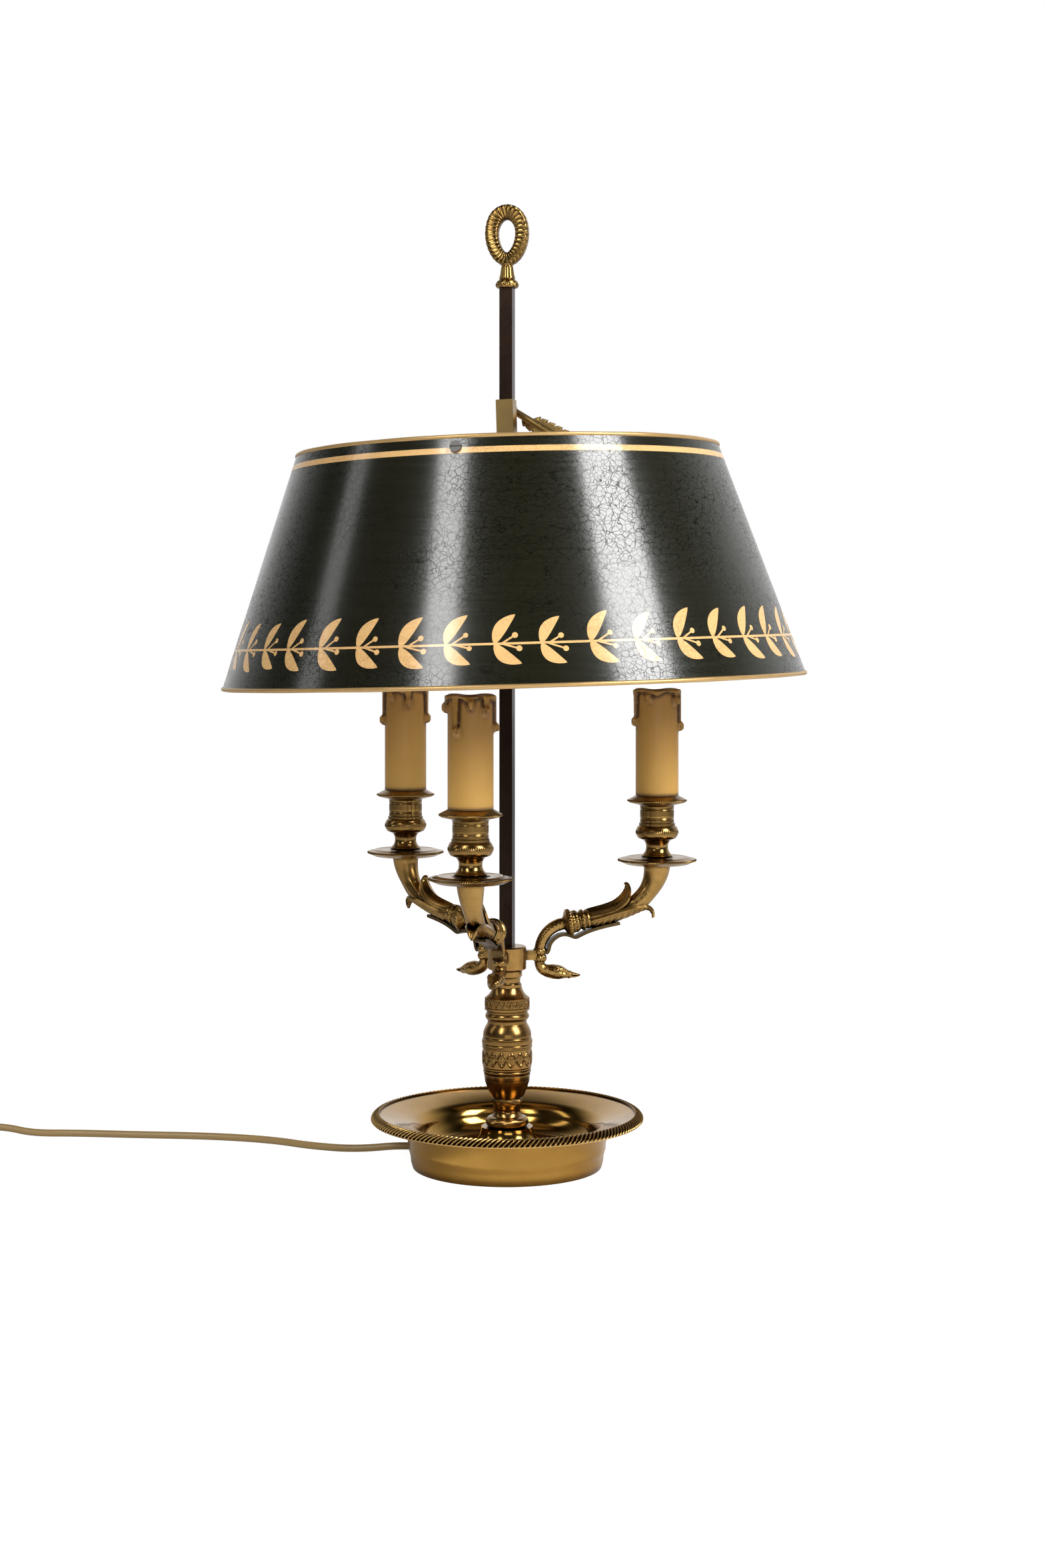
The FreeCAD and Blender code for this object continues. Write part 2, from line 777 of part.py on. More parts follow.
# The sleeve that slides on the rod, and the clamp boss on its back
sleeve_bottom = sleeve_level - sleeve_length / 2
sleeve_solid = block(2 * sleeve_half, 2 * sleeve_half, sleeve_length, 0, 0, sleeve_bottom)
sleeve_inner = 2 * (sleeve_half - sleeve_wall)
sleeve_space = block(sleeve_inner, sleeve_inner, sleeve_length + 2, 0, 0, sleeve_bottom - 1)
back = at(0, 1, 0)
key_bore = Part.makeCylinder(key_screw_radius + key_clearance, 30, at(0, 0, clamp_level), back)
write("sleeve", rocked(sleeve_solid.cut(sleeve_space).cut(key_bore)))
boss_end = sleeve_half + clamp_boss_length
clamp_boss = Part.makeCylinder(clamp_boss_radius, clamp_boss_length, at(0, sleeve_half, clamp_level), back)
write("clamp_boss", rocked(clamp_boss.cut(key_bore)))


# The key: a clamp screw whose lever is the feathered half of an arrow
def arrow_key():
    tip = rod_width / 2 + key_clearance
    collar_start = boss_end + key_end_gap
    lever_plane = collar_start + key_collar_length / 2
    screw = Part.makeCylinder(key_screw_radius, collar_start - tip, at(0, tip, clamp_level), back)
    collar = Part.makeCylinder(key_collar_radius, key_collar_length, at(0, collar_start, clamp_level), back)
    shaft = Part.makeCylinder(key_shaft_radius, vane_end - 1.0, at(0, lever_plane, clamp_level), at(1, 0, 0))
    lobe = (vane_end - vane_start) / vane_lobes
    low = lever_plane - vane_thickness / 2
    steps = []
    for index in range(vane_lobes):
        near = vane_start + index * lobe
        width = vane_half_width * (0.72 + 0.28 * (index + 1) / vane_lobes)
        steps.append((near + 0.2 * lobe, width * 0.9, near + lobe, width))
        if index < vane_lobes - 1:
            steps.append((near + lobe, width * 0.84))
    upper = [(vane_start, 0.0)] + steps + [(vane_end - 4.0, 0.0)]
    vane = outline(upper[0], upper[1:]).extrude(at(0, vane_thickness, 0))
    vane.translate(at(0, low, clamp_level))
    other = vane.mirror(at(0, 0, clamp_level), up)
    lever = shaft.fuse(vane).fuse(other)
    lever.rotate(at(0, 0, clamp_level), at(0, -1, 0), key_angle)
    return screw.fuse(collar).fuse(lever).removeSplitter()


write("arrow_key", rocked(arrow_key()))


# The shade: a cone of sheet metal between two rolled rims, on three spider arms
def shade_radius(height):
    return shade_top_radius + (shade_top - height) * math.tan(shade_lean)


def cone_band(low, high, depth, thickness):
    # A band of the cone between two heights, starting this deep inside the outer face.
    outer = depth / math.cos(shade_lean)
    inner = (depth + thickness) / math.cos(shade_lean)
    return turned(
        (shade_radius(low) - inner, low),
        (shade_radius(low) - outer, low),
        (shade_radius(high) - outer, high),
        (shade_radius(high) - inner, high),
    )


def shade_rim(height):
    middle = shade_radius(height) - shade_wall / 2 / math.cos(shade_lean)
    return Part.makeTorus(middle, shade_rim_radius, at(0, 0, height), up)


def shade_screw(bearing):
    level = shade_top - shade_screw_below_rim
    outward = at(math.cos(shade_lean), 0, math.sin(shade_lean))
    face = at(shade_radius(level), 0, level)
    grip = shade_wall + tab_thickness + seat_gap
    head = Part.makeCylinder(shade_screw_head_radius, shade_screw_head_height, face, outward)
    slot = Part.makeBox(4, 20, shade_screw_slot, at(0, -10, -shade_screw_slot / 2))
    slot.rotate(origin, at(0, 1, 0), -math.degrees(shade_lean))
    slot.translate(face.add(outward * (shade_screw_head_height - 0.6)))
    shank = rod_between(shade_screw_radius, face.sub(outward * grip), face)
    nut_start = face.sub(outward * (grip + shade_nut_height))
    nut_piece = Part.makeCylinder(shade_nut_radius, shade_nut_height, nut_start, outward)
    return turned_out(head.cut(slot).fuse(shank).fuse(nut_piece).removeSplitter(), bearing)


def spider_arm(bearing):
    wall_level = shade_top - spider_below_rim
    wall_reach = shade_radius(wall_level) - (shade_wall + tab_thickness / 2) / math.cos(shade_lean)
    low = wall_level - spider_rise - spider_thickness / 2
    bar = outline(
        (0.0, low),
        [
            (wall_reach, low + spider_rise),
            (wall_reach, low + spider_rise + spider_thickness),
            (0.0, low + spider_thickness),
        ],
    ).extrude(at(0, spider_width, 0))
    bar.translate(at(0, -spider_width / 2, 0))
    tab_top = shade_top - tab_below_rim
    tab = cone_band(tab_top - tab_height, tab_top, shade_wall, tab_thickness)
    reach = 40.0
    tab = tab.common(block(reach, tab_width, tab_height, shade_radius(tab_top), 0, tab_top - tab_height))
    arm = turned_out(bar.fuse(tab), bearing).cut(sleeve_solid).cut(shade_screw(bearing))
    return arm.removeSplitter()


rims = {"top": shade_rim(shade_top), "bottom": shade_rim(shade_bottom)}
shell = cone_band(shade_bottom, shade_top, 0.0, shade_wall).cut(rims["top"]).cut(rims["bottom"])
screws = [shade_screw(bearing) for bearing in spider_bearings.values()]
for screw in screws:
    shell = shell.cut(screw)
write("shade_shell", rocked(shell))
write_group("shade_screws", [rocked(screw) for screw in screws])
for name, rim in rims.items():
    write("shade_rim_" + name, rocked(rim))
for side, bearing in spider_bearings.items():
    write("spider_arm_" + side, rocked(spider_arm(bearing)))

# The cord's route on the table, from inside the skirt to the switch
exit_turn = math.radians(cord_exit_angle)
exit_way = at(math.cos(exit_turn), math.sin(exit_turn), 0)
switch_turn = math.radians(switch_angle)
switch_way = at(math.cos(switch_turn), math.sin(switch_turn), 0)
switch_start = at(switch_entry[0], switch_entry[1], switch_cable_height)
switch_end = switch_start.add(switch_way * switch_length)
cord_start = exit_way * (skirt_radius - 5.0)
cord_points = [
    cord_start.add(at(0, 0, cord_exit_height)),
    exit_way * (skirt_radius + 13.0) + at(0, 0, cord_exit_height),
    at(-101.8, 12.0, cord_radius),
    at(-134.0, 15.7, cord_radius),
    at(-157.0, 24.8, cord_radius),
    at(-184.6, 28.6, cord_radius),
    at(-216.2, 27.9, cord_radius),
    at(-254.0, 22.6, cord_radius),
    at(-296.0, 18.6, cord_radius),
    at(-323.0, 9.6, cord_radius + 0.6),
    switch_start.sub(switch_way * 12.0),
    switch_start,
]
lead_points = [
    switch_end,
    switch_end.add(switch_way * 12.0),
    switch_end.add(switch_way * 28.0) + at(0, 0, cord_radius - switch_cable_height),
    switch_end.add(switch_way * 42.0) + at(0, 0, cord_radius - switch_cable_height),
]


def cord_tube(name, points):
    # Straight runs joined by tangent arcs, each as large as its two runs allow.
    edges = []
    here = points[0]
    for before, corner, after in zip(points, points[1:], points[2:]):
        into = corner.sub(before)
        out = after.sub(corner)
        turn = into.getAngle(out)
        shorter = min(into.Length, out.Length)
        reach = 0.45 * shorter
        radius = reach / math.tan(turn / 2)
        print(name, "arc radius", round(radius, 1))
        start = corner.sub(into.normalize() * reach)
        end = corner.add(out.normalize() * reach)
        chord_middle = (start + end) * 0.5
        sag = radius * (1 - math.cos(turn / 2))
        middle = chord_middle + (corner - chord_middle).normalize() * sag
        edges.append(Part.LineSegment(here, start).toShape())
        edges.append(Part.Arc(start, middle, end).toShape())
        here = end
    edges.append(Part.LineSegment(here, points[-1]).toShape())
    path = Part.Wire(edges)
    section = Part.Wire([Part.makeCircle(cord_radius, points[0], points[1].sub(points[0]))])
    tube = path.makePipeShell([section], True, False)
    share = tube.Volume / (math.pi * cord_radius**2 * path.Length)
    print(name, "length", round(path.Length, 1), "volume share", round(share, 4))
    return tube


write("cord", cord_tube("cord", cord_points))
write("cord_lead", cord_tube("lead", lead_points))

# The coil: the spare length wound in layers that spiral in and out
coil_start = lead_points[-1]
coil_outer_radius = coil_inner_radius + coil_turns_a_layer * pitch
coil_phase = switch_turn - math.pi / 2
coil_centre = coil_start.sub(at(math.cos(coil_phase), math.sin(coil_phase), 0) * coil_outer_radius)
coil_centre = coil_centre.add(switch_way * (2 * cord_radius))
coil_turns = coil_layers * coil_turns_a_layer + coil_last_share


def coil_place(turns):
    # Radius is a zigzag of the turns wound; a layer is climbed in the half turn about each reversal.
    layer = min(int(turns / coil_turns_a_layer), coil_layers - 1)
    share = turns / coil_turns_a_layer - layer
    inward = share if layer % 2 == 0 else 1 - share
    radius = coil_outer_radius - inward * coil_turns_a_layer * pitch
    height = cord_radius
    for reversal in range(1, coil_layers):
        climb = min(max((turns - reversal * coil_turns_a_layer) * 2 + 0.5, 0.0), 1.0)
        height += pitch * climb * climb * (3 - 2 * climb)
    turn = coil_phase + 2 * math.pi * turns
    return at(coil_centre.x + radius * math.cos(turn), coil_centre.y + radius * math.sin(turn), height)


def coil_way(turns):
    step = 1e-4
    return coil_place(turns + step).sub(coil_place(turns - step)).normalize()


def arc_from(start, corner, end):
    # The arc tangent to both legs of an isosceles corner.
    weight = math.cos(corner.sub(start).getAngle(end.sub(corner)) / 2)
    middle = (start + corner * (2 * weight) + end) * (1 / (2 + 2 * weight))
    return Part.Arc(start, middle, end).toShape()


def biarc(start, start_way, end, end_way):
    gap = end.sub(start)
    both = start_way + end_way
    spread = 2 * (1 - start_way.dot(end_way))
    root = math.sqrt(gap.dot(both) ** 2 + spread * gap.dot(gap))
    reach = (root - gap.dot(both)) / spread
    first = start + start_way * reach
    second = end - end_way * reach
    middle = (first + second) * 0.5
    return [arc_from(start, first, middle), arc_from(middle, second, end)]


def coil_tube():
    # Straight for one cord's width at each end, and two arcs for each eighth of a turn.
    steps = round(coil_turns * 8)
    stops = [coil_turns * i / steps for i in range(steps + 1)]
    places = [coil_place(stop) for stop in stops]
    ways = [coil_way(min(max(stop, 1e-4), coil_turns - 1e-4)) for stop in stops]
    ways[0] = switch_way
    edges = [Part.LineSegment(places[0] - switch_way * (2 * cord_radius), places[0]).toShape()]
    for index in range(steps):
        edges += biarc(places[index], ways[index], places[index + 1], ways[index + 1])
    end = places[-1] + ways[-1] * (2 * cord_radius)
    edges.append(Part.LineSegment(places[-1], end).toShape())
    path = Part.Wire(edges)
    section = Part.Wire([Part.makeCircle(cord_radius, places[0] - switch_way * (2 * cord_radius), switch_way)])
    tube = path.makePipeShell([section], True, False)
    share = tube.Volume / (math.pi * cord_radius**2 * path.Length)
    print("coil length", round(path.Length, 1), "volume share", round(share, 4))
    return tube, end, ways[-1]


def coil_least_gap():
    # Points a 48th of a turn apart; those within half a turn along the cord are its own neighbours.
    count = int(coil_turns * 48)
    places = [coil_place(i / 48) for i in range(count + 1)]
    least = min(
        places[i].distanceToPoint(places[j]) for i in range(count + 1) for j in range(i + 24, count + 1)
    )
    return least - 2 * cord_radius


coil, coil_end, coil_end_way = coil_tube()
print("coil least gap to itself", round(coil_least_gap(), 2))
write("cord_coil", coil)

# The cord's tail comes down beside the coil to the plug
plug_level = plug_thickness / 2
plug_place = at(coil_end.x, coil_end.y - 62.0, plug_level)
tail_points = [
    coil_end,
    coil_end.add(coil_end_way * 12.0),
    at(coil_end.x - 0.8, coil_end.y - 30.0, (coil_end.z + plug_level) / 2),
    at(plug_place.x, plug_place.y + 13.0, plug_level),
    plug_place,
]
write("cord_tail", cord_tube("tail", tail_points))


def plug_body():
    half = plug_width / 2
    flat = [(-4.6, 0.0), (4.6, 0.0), (half, -13.0), (half, -plug_length), (-half, -plug_length), (-half, -13.0)]
    corners = [at(x, y, -plug_thickness / 2) for x, y in flat + flat[:1]]
    body = Part.Face(Part.makePolygon(corners)).extrude(at(0, 0, plug_thickness))
    body = body.makeFillet(3.0, body.Edges)
    relief = Part.makeCone(cord_radius + 0.5, 4.6, plug_relief_length, at(0, plug_relief_length, 0), at(0, -1, 0))
    body = body.fuse(relief)
    body = body.cut(Part.makeCylinder(cord_radius, plug_relief_length + 6.0, at(0, -6.0, 0), back))
    for side in (-1, 1):
        way = at(side * pin_spacing / 2, -plug_length - 1, 0)
        body = body.cut(Part.makeCylinder(pin_radius, 7.0, way, back))
    return body


def plug_pins():
    pins = []
    for side in (-1, 1):
        start = at(side * pin_spacing / 2, 6.0 - plug_length, 0)
        pin = Part.makeCylinder(pin_radius, pin_length + 6.0, start, at(0, -1, 0))
        pins.append(pin.makeFillet(0.8, pin.Edges[-1:]))
    return pins


def at_plug(shape):
    placed = shape.copy()
    placed.translate(plug_place - at(0, plug_relief_length, 0))
    return placed


write("plug_body", at_plug(plug_body()))
write_group("plug_pins", [at_plug(pin) for pin in plug_pins()])

# The bush that lines the cord's way out of the skirt
bush_start = exit_way * (skirt_radius - 3.5) + at(0, 0, cord_exit_height)
bush_face = exit_way * (skirt_radius + bush_standoff) + at(0, 0, cord_exit_height)
bush = Part.makeCylinder(bush_radius, bush_length, bush_start, exit_way)
bush = bush.fuse(Part.makeCylinder(bush_flange_radius, bush_flange_thickness, bush_face, exit_way))
write("cord_bush", bush.cut(Part.makeCylinder(cord_radius, 30, cord_start + at(0, 0, cord_exit_height), exit_way)))


# The inline switch, made along +X from its cord entry and then turned to the cord's way
def rounded_block(length, width, low, high, corner):
    slab = Part.makeBox(length, width, high - low, at(0, -width / 2, low))
    uprights = [edge for edge in slab.Edges if abs(edge.tangentAt(edge.FirstParameter).z) > 0.9]
    return slab.makeFillet(corner, uprights)


rocker_level = switch_height - 3.5
rocker_middle = switch_length / 2
rocker_rise = rocker_length / 2 * math.sin(math.radians(2 * rocker_tilt))
pin_span = rocker_width / 2 + rocker_pin_length


def rocker():
    # The pressed end lies flush with the case and the other end stands proud.
    half = rocker_length / 2
    crown = rocker_crown
    face = outline(
        (-half + 0.6, -4.0),
        [(half - 0.6, -4.0), (half, crown), (0.0, crown), (-half, crown + rocker_rise), (-half + 0.2, 1.0)],
    )
    body = face.extrude(at(0, rocker_width, 0))
    body.translate(at(0, -rocker_width / 2, 0))
    pin = Part.makeCylinder(rocker_pin_radius, 2 * pin_span, at(0, -pin_span, 0), back)
    piece = body.fuse(pin).removeSplitter()
    piece.translate(at(rocker_middle, 0, rocker_level))
    return piece


def switch_shell(low, high):
    case = rounded_block(switch_length, switch_width, low, high, switch_corner)
    inner_low = low + switch_wall if low == 0 else low - 1
    inner_high = high - switch_wall if low > 0 else high + 1
    length = switch_length - 2 * switch_wall
    hollow = rounded_block(length, switch_width - 2 * switch_wall, inner_low, inner_high, switch_corner - switch_wall)
    hollow.translate(at(switch_wall, 0, 0))
    return case.cut(hollow)


def switch_lower():
    shell = switch_shell(0.0, switch_split)
    bore = Part.makeCylinder(cord_radius, switch_length + 2, at(-1, 0, switch_cable_height), at(1, 0, 0))
    return shell.cut(bore)


def switch_upper():
    shell = switch_shell(switch_split, switch_height)
    gap = 2 * (math.hypot(rocker_length / 2, rocker_crown + rocker_rise) + rocker_side_gap)
    width = rocker_width + 2 * rocker_side_gap
    window = block(gap, width, 20, rocker_middle, 0, switch_split - 1)
    cheek_thick = 2.4
    for side in (-1, 1):
        offset = side * (width / 2 + cheek_thick / 2)
        depth = switch_height - switch_wall - switch_split
        shell = shell.fuse(block(8.0, cheek_thick, depth, rocker_middle, offset, switch_split))
    bore = Part.makeCylinder(
        rocker_pin_radius + rocker_pin_clearance,
        2 * pin_span + 0.4,
        at(rocker_middle, -pin_span - 0.2, rocker_level),
        back,
    )
    return shell.cut(window).cut(bore)


def at_switch(shape):
    placed = shape.copy()
    placed.rotate(origin, up, switch_angle)
    placed.translate(at(switch_entry[0], switch_entry[1], 0))
    return placed


write("switch_lower", at_switch(switch_lower()))
write("switch_upper", at_switch(switch_upper()))
write("switch_rocker", at_switch(rocker()))
print("shade rock", round(rock_angle, 3), "pan", pan_top, "candle", candle_top, "clamp", clamp_level)
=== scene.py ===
import bmesh
import bpy
import math
import numpy as np
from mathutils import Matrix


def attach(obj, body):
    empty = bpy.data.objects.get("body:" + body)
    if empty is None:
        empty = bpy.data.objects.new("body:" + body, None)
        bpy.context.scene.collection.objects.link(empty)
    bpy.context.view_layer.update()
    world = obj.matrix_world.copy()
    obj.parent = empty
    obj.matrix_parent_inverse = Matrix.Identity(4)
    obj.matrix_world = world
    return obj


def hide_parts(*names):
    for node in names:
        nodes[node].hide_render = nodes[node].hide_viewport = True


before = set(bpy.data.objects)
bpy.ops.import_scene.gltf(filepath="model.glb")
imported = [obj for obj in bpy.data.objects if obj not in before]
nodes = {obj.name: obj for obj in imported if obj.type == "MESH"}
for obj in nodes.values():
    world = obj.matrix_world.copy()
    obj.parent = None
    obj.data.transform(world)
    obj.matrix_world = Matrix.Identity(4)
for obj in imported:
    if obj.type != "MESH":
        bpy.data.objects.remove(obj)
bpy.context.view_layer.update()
mm = 0.001  # every size below is written in millimetres
print("frame loaded:", len(nodes), "nodes")

# Camera and light

cameraSet = {
    "turn": 12.5,  # degrees round the lamp, from straight in front
    "distance": 1500.0,
    "sideways": 9.6,
    "height": 341.7,
    "lens": 55.08,
    "filmSide": 36.0,
    "shiftDown": -0.1056,
}
studioSet = {
    "skyForMatt": 0.2,
    "skyBright": 0.95,
    "skyDark": 0.035,
    "backBand": (0.1, 0.95),  # the sky brightens over this share of the way to the back
    "highBand": (0.5, 0.8),  # and dims over this share of the way up
    "highShare": 0.06,
    "panels": [  # bearing from the camera's line, elevation, distance, width, height, power
        ("leftPanel", -32, 36, 2100, 420, 1300, 20),
        ("rightPanel", 54, 34, 2100, 760, 1500, 62),
        ("farLeftPanel", -88, 28, 2100, 340, 1300, 3),
        ("lowPanel", 6, 4, 2300, 1300, 240, 4),
    ],
    "aim": 300.0,
    "floorHalf": 6000.0,
    "floorPaint": 0.86,
    "floorRough": 0.9,
    "floorShare": 0.7,
    "floorWhite": 1.34,
}


def aroundLamp(sideways, forwards, height):
    # A place named from the camera's side of the lamp: to its right, away from it, and up.
    turn = math.radians(cameraSet["turn"])
    x = sideways * math.cos(turn) - forwards * math.sin(turn)
    y = sideways * math.sin(turn) + forwards * math.cos(turn)
    return (x * mm, y * mm, height * mm)


def putObject(name, data):
    made = bpy.data.objects.new(name, data)
    bpy.context.scene.collection.objects.link(made)
    return made


def makeCamera():
    c = cameraSet
    data = bpy.data.cameras.new("viewCamera")
    data.sensor_fit = "VERTICAL"
    data.sensor_height = c["filmSide"]
    data.lens = c["lens"]
    data.shift_y = c["shiftDown"]
    data.clip_end = 100
    camera = putObject("viewCamera", data)
    camera.location = aroundLamp(c["sideways"], -c["distance"], c["height"])
    camera.rotation_euler = (math.radians(90), 0, math.radians(c["turn"]))
    bpy.context.scene.camera = camera


def makePanel(name, bearing, elevation, distance, width, height, power):
    # A soft light on a sphere round the aim point, turned to face it.
    flat = distance * math.cos(math.radians(elevation))
    place = aroundLamp(
        flat * math.sin(math.radians(bearing)),
        -flat * math.cos(math.radians(bearing)),
        studioSet["aim"] + distance * math.sin(math.radians(elevation)),
    )
    data = bpy.data.lights.new(name, "AREA")
    data.shape = "RECTANGLE"
    data.size = width * mm
    data.size_y = height * mm
    data.energy = power
    panel = putObject(name, data)
    panel.location = place
    away = np.array(place) - np.array([0, 0, studioSet["aim"] * mm])
    level = math.hypot(away[0], away[1])
    panel.rotation_euler = (math.atan2(level, away[2]), 0, math.atan2(away[1], away[0]) + math.pi / 2)


# Short ways to build nodes


def feed(tree, node, values):
    # Values go to inputs by name or number: a socket is linked, a number or colour is set.
    for key, value in values.items():
        if isinstance(value, bpy.types.NodeSocket):
            tree.links.new(value, node.inputs[key])
        else:
            node.inputs[key].default_value = value


def addNode(tree, kind, values=None, **settings):
    node = tree.nodes.new(kind)
    for key, value in settings.items():
        setattr(node, key, value)
    feed(tree, node, values or {})
    return node


def maths(tree, operation, *values, clamp=False):
    node = addNode(tree, "ShaderNodeMath", dict(enumerate(values)), operation=operation, use_clamp=clamp)
    return node.outputs[0]


def stretch(tree, value, low, high, fromLow=0.0, fromHigh=1.0, curve="LINEAR"):
    limits = {"From Min": fromLow, "From Max": fromHigh, "To Min": low, "To Max": high}
    return addNode(tree, "ShaderNodeMapRange", {"Value": value, **limits}, interpolation_type=curve).outputs[0]


def noise(tree, where, scale, detail, rough=0.5):
    values = {"Vector": where, "Scale": scale, "Detail": detail, "Roughness": rough}
    return addNode(tree, "ShaderNodeTexNoise", values).outputs


def objectPlace(tree, scale=None):
    where = addNode(tree, "ShaderNodeTexCoord").outputs["Object"]
    if scale is None:
        return where
    return addNode(tree, "ShaderNodeMapping", {"Vector": where, "Scale": scale}).outputs[0]


def mixColour(tree, share, first, second):
    # First and second are colours or sockets; share is a socket.
    colours = [(*value, 1) if isinstance(value, tuple) else value for value in (first, second)]
    node = addNode(tree, "ShaderNodeMix", {0: share, 6: colours[0], 7: colours[1]}, data_type="RGBA")
    return node.outputs[2]


def raiseGrain(tree, shader, height, distance, strength=1.0):
    bump = addNode(tree, "ShaderNodeBump", {"Distance": distance, "Strength": strength, "Height": height})
    tree.links.new(bump.outputs[0], shader.inputs["Normal"])


def startMaterial(name):
    material = bpy.data.materials.new(name)
    material.use_nodes = True
    return material, material.node_tree, material.node_tree.nodes["Principled BSDF"]


def makeSky():
    # White to the camera, an even grey to matt surfaces, and to all that shines a studio that is dark in front,
    # bright low at the back and dim overhead.
    c = studioSet
    world = bpy.data.worlds.new("studioSky")
    bpy.context.scene.world = world
    world.use_nodes = True
    tree = world.node_tree
    tree.nodes.clear()
    paths = addNode(tree, "ShaderNodeLightPath").outputs
    where = addNode(tree, "ShaderNodeTexCoord").outputs["Generated"]
    way = addNode(tree, "ShaderNodeSeparateXYZ", {0: where}).outputs
    back = stretch(tree, way["Y"], c["skyDark"], c["skyBright"], *c["backBand"], "SMOOTHSTEP")
    low = stretch(tree, way["Z"], 1.0, c["highShare"], *c["highBand"], "SMOOTHSTEP")
    shown = maths(tree, "MULTIPLY", back, low)
    shine = addNode(tree, "ShaderNodeMix", {0: paths["Is Glossy Ray"], 2: c["skyForMatt"], 3: shown})
    seen = addNode(tree, "ShaderNodeMix", {0: paths["Is Camera Ray"], 2: shine.outputs[0], 3: 1.0})
    sky = addNode(tree, "ShaderNodeBackground", {"Color": (1, 1, 1, 1), "Strength": seen.outputs[0]})
    addNode(tree, "ShaderNodeOutputWorld", {0: sky.outputs[0]})


def makeFloor():
    # A matt white table that keeps the shadow, and glows a little to the camera so that no horizon shows.
    c = studioSet
    material, tree, matt = startMaterial("studioFloor")
    feed(tree, matt, {"Base Color": (*[c["floorPaint"]] * 3, 1), "Roughness": c["floorRough"]})
    seen = addNode(tree, "ShaderNodeLightPath").outputs["Is Camera Ray"]
    share = maths(tree, "MULTIPLY", seen, c["floorShare"])
    white = addNode(tree, "ShaderNodeEmission", {"Strength": c["floorWhite"]})
    blend = addNode(tree, "ShaderNodeMixShader", {0: share, 1: matt.outputs[0], 2: white.outputs[0]})
    feed(tree, tree.nodes["Material Output"], {"Surface": blend.outputs[0]})
    half = c["floorHalf"] * mm
    mesh = bpy.data.meshes.new("studioFloor")
    corners = [(-half, -half, 0), (half, -half, 0), (half, half, 0), (-half, half, 0)]
    mesh.from_pydata(corners, [], [(0, 1, 2, 3)])
    mesh.materials.append(material)
    floor = putObject("studioFloor", mesh)


makeCamera()
makeSky()
makeFloor()
for panelValues in studioSet["panels"]:
    makePanel(*panelValues)
bpy.context.scene.view_settings.view_transform = "Standard"
print("camera, sky, floor and light panels made")

# Effects shared by several finishes


def newGroup(name, inputs, outputs):
    # A node group of plain numbers: inputs with their usual values, outputs by name.
    group = bpy.data.node_groups.new(name, "ShaderNodeTree")
    for label, value in inputs.items():
        socket = group.interface.new_socket(name=label, in_out="INPUT", socket_type="NodeSocketFloat")
        socket.default_value = value
    for label in outputs:
        group.interface.new_socket(name=label, in_out="OUTPUT", socket_type="NodeSocketFloat")
    return group, addNode(group, "NodeGroupInput").outputs, addNode(group, "NodeGroupOutput")


def placeGroup(tree, group, values):
    node = addNode(tree, "ShaderNodeGroup", node_tree=group)
    feed(tree, node, values)
    return node.outputs


def makeDirtAndShadeGroup():
    # Mask = depth * (1 - share of a short ray fan that gets away): darkening in the hollows by occlusion, painted
    # shade that the brasses also take as their patina there.
    group, given, sink = newGroup("recessDirtAndShade", {"Reach": 0.003, "Depth": 1.0}, ["Mask"])
    fan = addNode(group, "ShaderNodeAmbientOcclusion", {"Distance": given["Reach"]}, samples=6)
    hollow = maths(group, "SUBTRACT", 1.0, fan.outputs["AO"])
    feed(group, sink, {"Mask": maths(group, "MULTIPLY", hollow, given["Depth"], clamp=True)})
    return group


def makeMottleGroup():
    # Cloud = broad noise mixed with noise nine times finer by Specks; Grain = the finer noise by itself.
    group, given, sink = newGroup("mottle", {"Scale": 60.0, "Specks": 0.3}, ["Cloud", "Grain"])
    where = objectPlace(group)
    broad = noise(group, where, given["Scale"], 4.0, 0.6)["Fac"]
    speck = noise(group, where, maths(group, "MULTIPLY", given["Scale"], 9.0), 3.0, 0.7)["Fac"]
    blend = addNode(group, "ShaderNodeMix", {0: given["Specks"], 2: broad, 3: speck})
    feed(group, sink, {"Cloud": blend.outputs[0], "Grain": speck})
    return group


def makeCrackGroup():
    # Crack = the greater of two nets of cell edges, the second twice as coarse, times patchy noise.
    # Brush = noise drawn out level; Height = brush / 2 - 0.8 * crack.
    group, given, sink = newGroup("crackedLacquer", {"Cells": 300.0}, ["Crack", "Brush", "Height"])
    where = objectPlace(group)
    swayed = {"Fac": 0.0035, "Color1": where, "Color2": noise(group, where, 170.0, 2.0)["Color"]}
    shifted = addNode(group, "ShaderNodeMixRGB", swayed, blend_type="ADD").outputs[0]
    nets = []
    for share, width in ((1.0, 0.055), (0.5, 0.03)):
        size = maths(group, "MULTIPLY", given["Cells"], share)
        cells = {"Scale": size, "Vector": shifted}
        net = addNode(group, "ShaderNodeTexVoronoi", cells, feature="DISTANCE_TO_EDGE")
        nets.append(stretch(group, net.outputs["Distance"], 1.0, 0.0, 0.0, width))
    patch = stretch(group, noise(group, where, 16.0, 2.0)["Fac"], 0.25, 1.0, 0.36, 0.58)
    crack = maths(group, "MULTIPLY", maths(group, "MAXIMUM", *nets, clamp=True), patch)
    brush = noise(group, objectPlace(group, (14, 14, 700)), 1.0, 3.0, 0.6)["Fac"]
    height = maths(group, "MULTIPLY_ADD", brush, 0.5, maths(group, "MULTIPLY", crack, -0.8))
    feed(group, sink, {"Crack": crack, "Brush": brush, "Height": height})
    return group


dirtAndShadeGroup = makeDirtAndShadeGroup()
mottleGroup = makeMottleGroup()
crackGroup = makeCrackGroup()

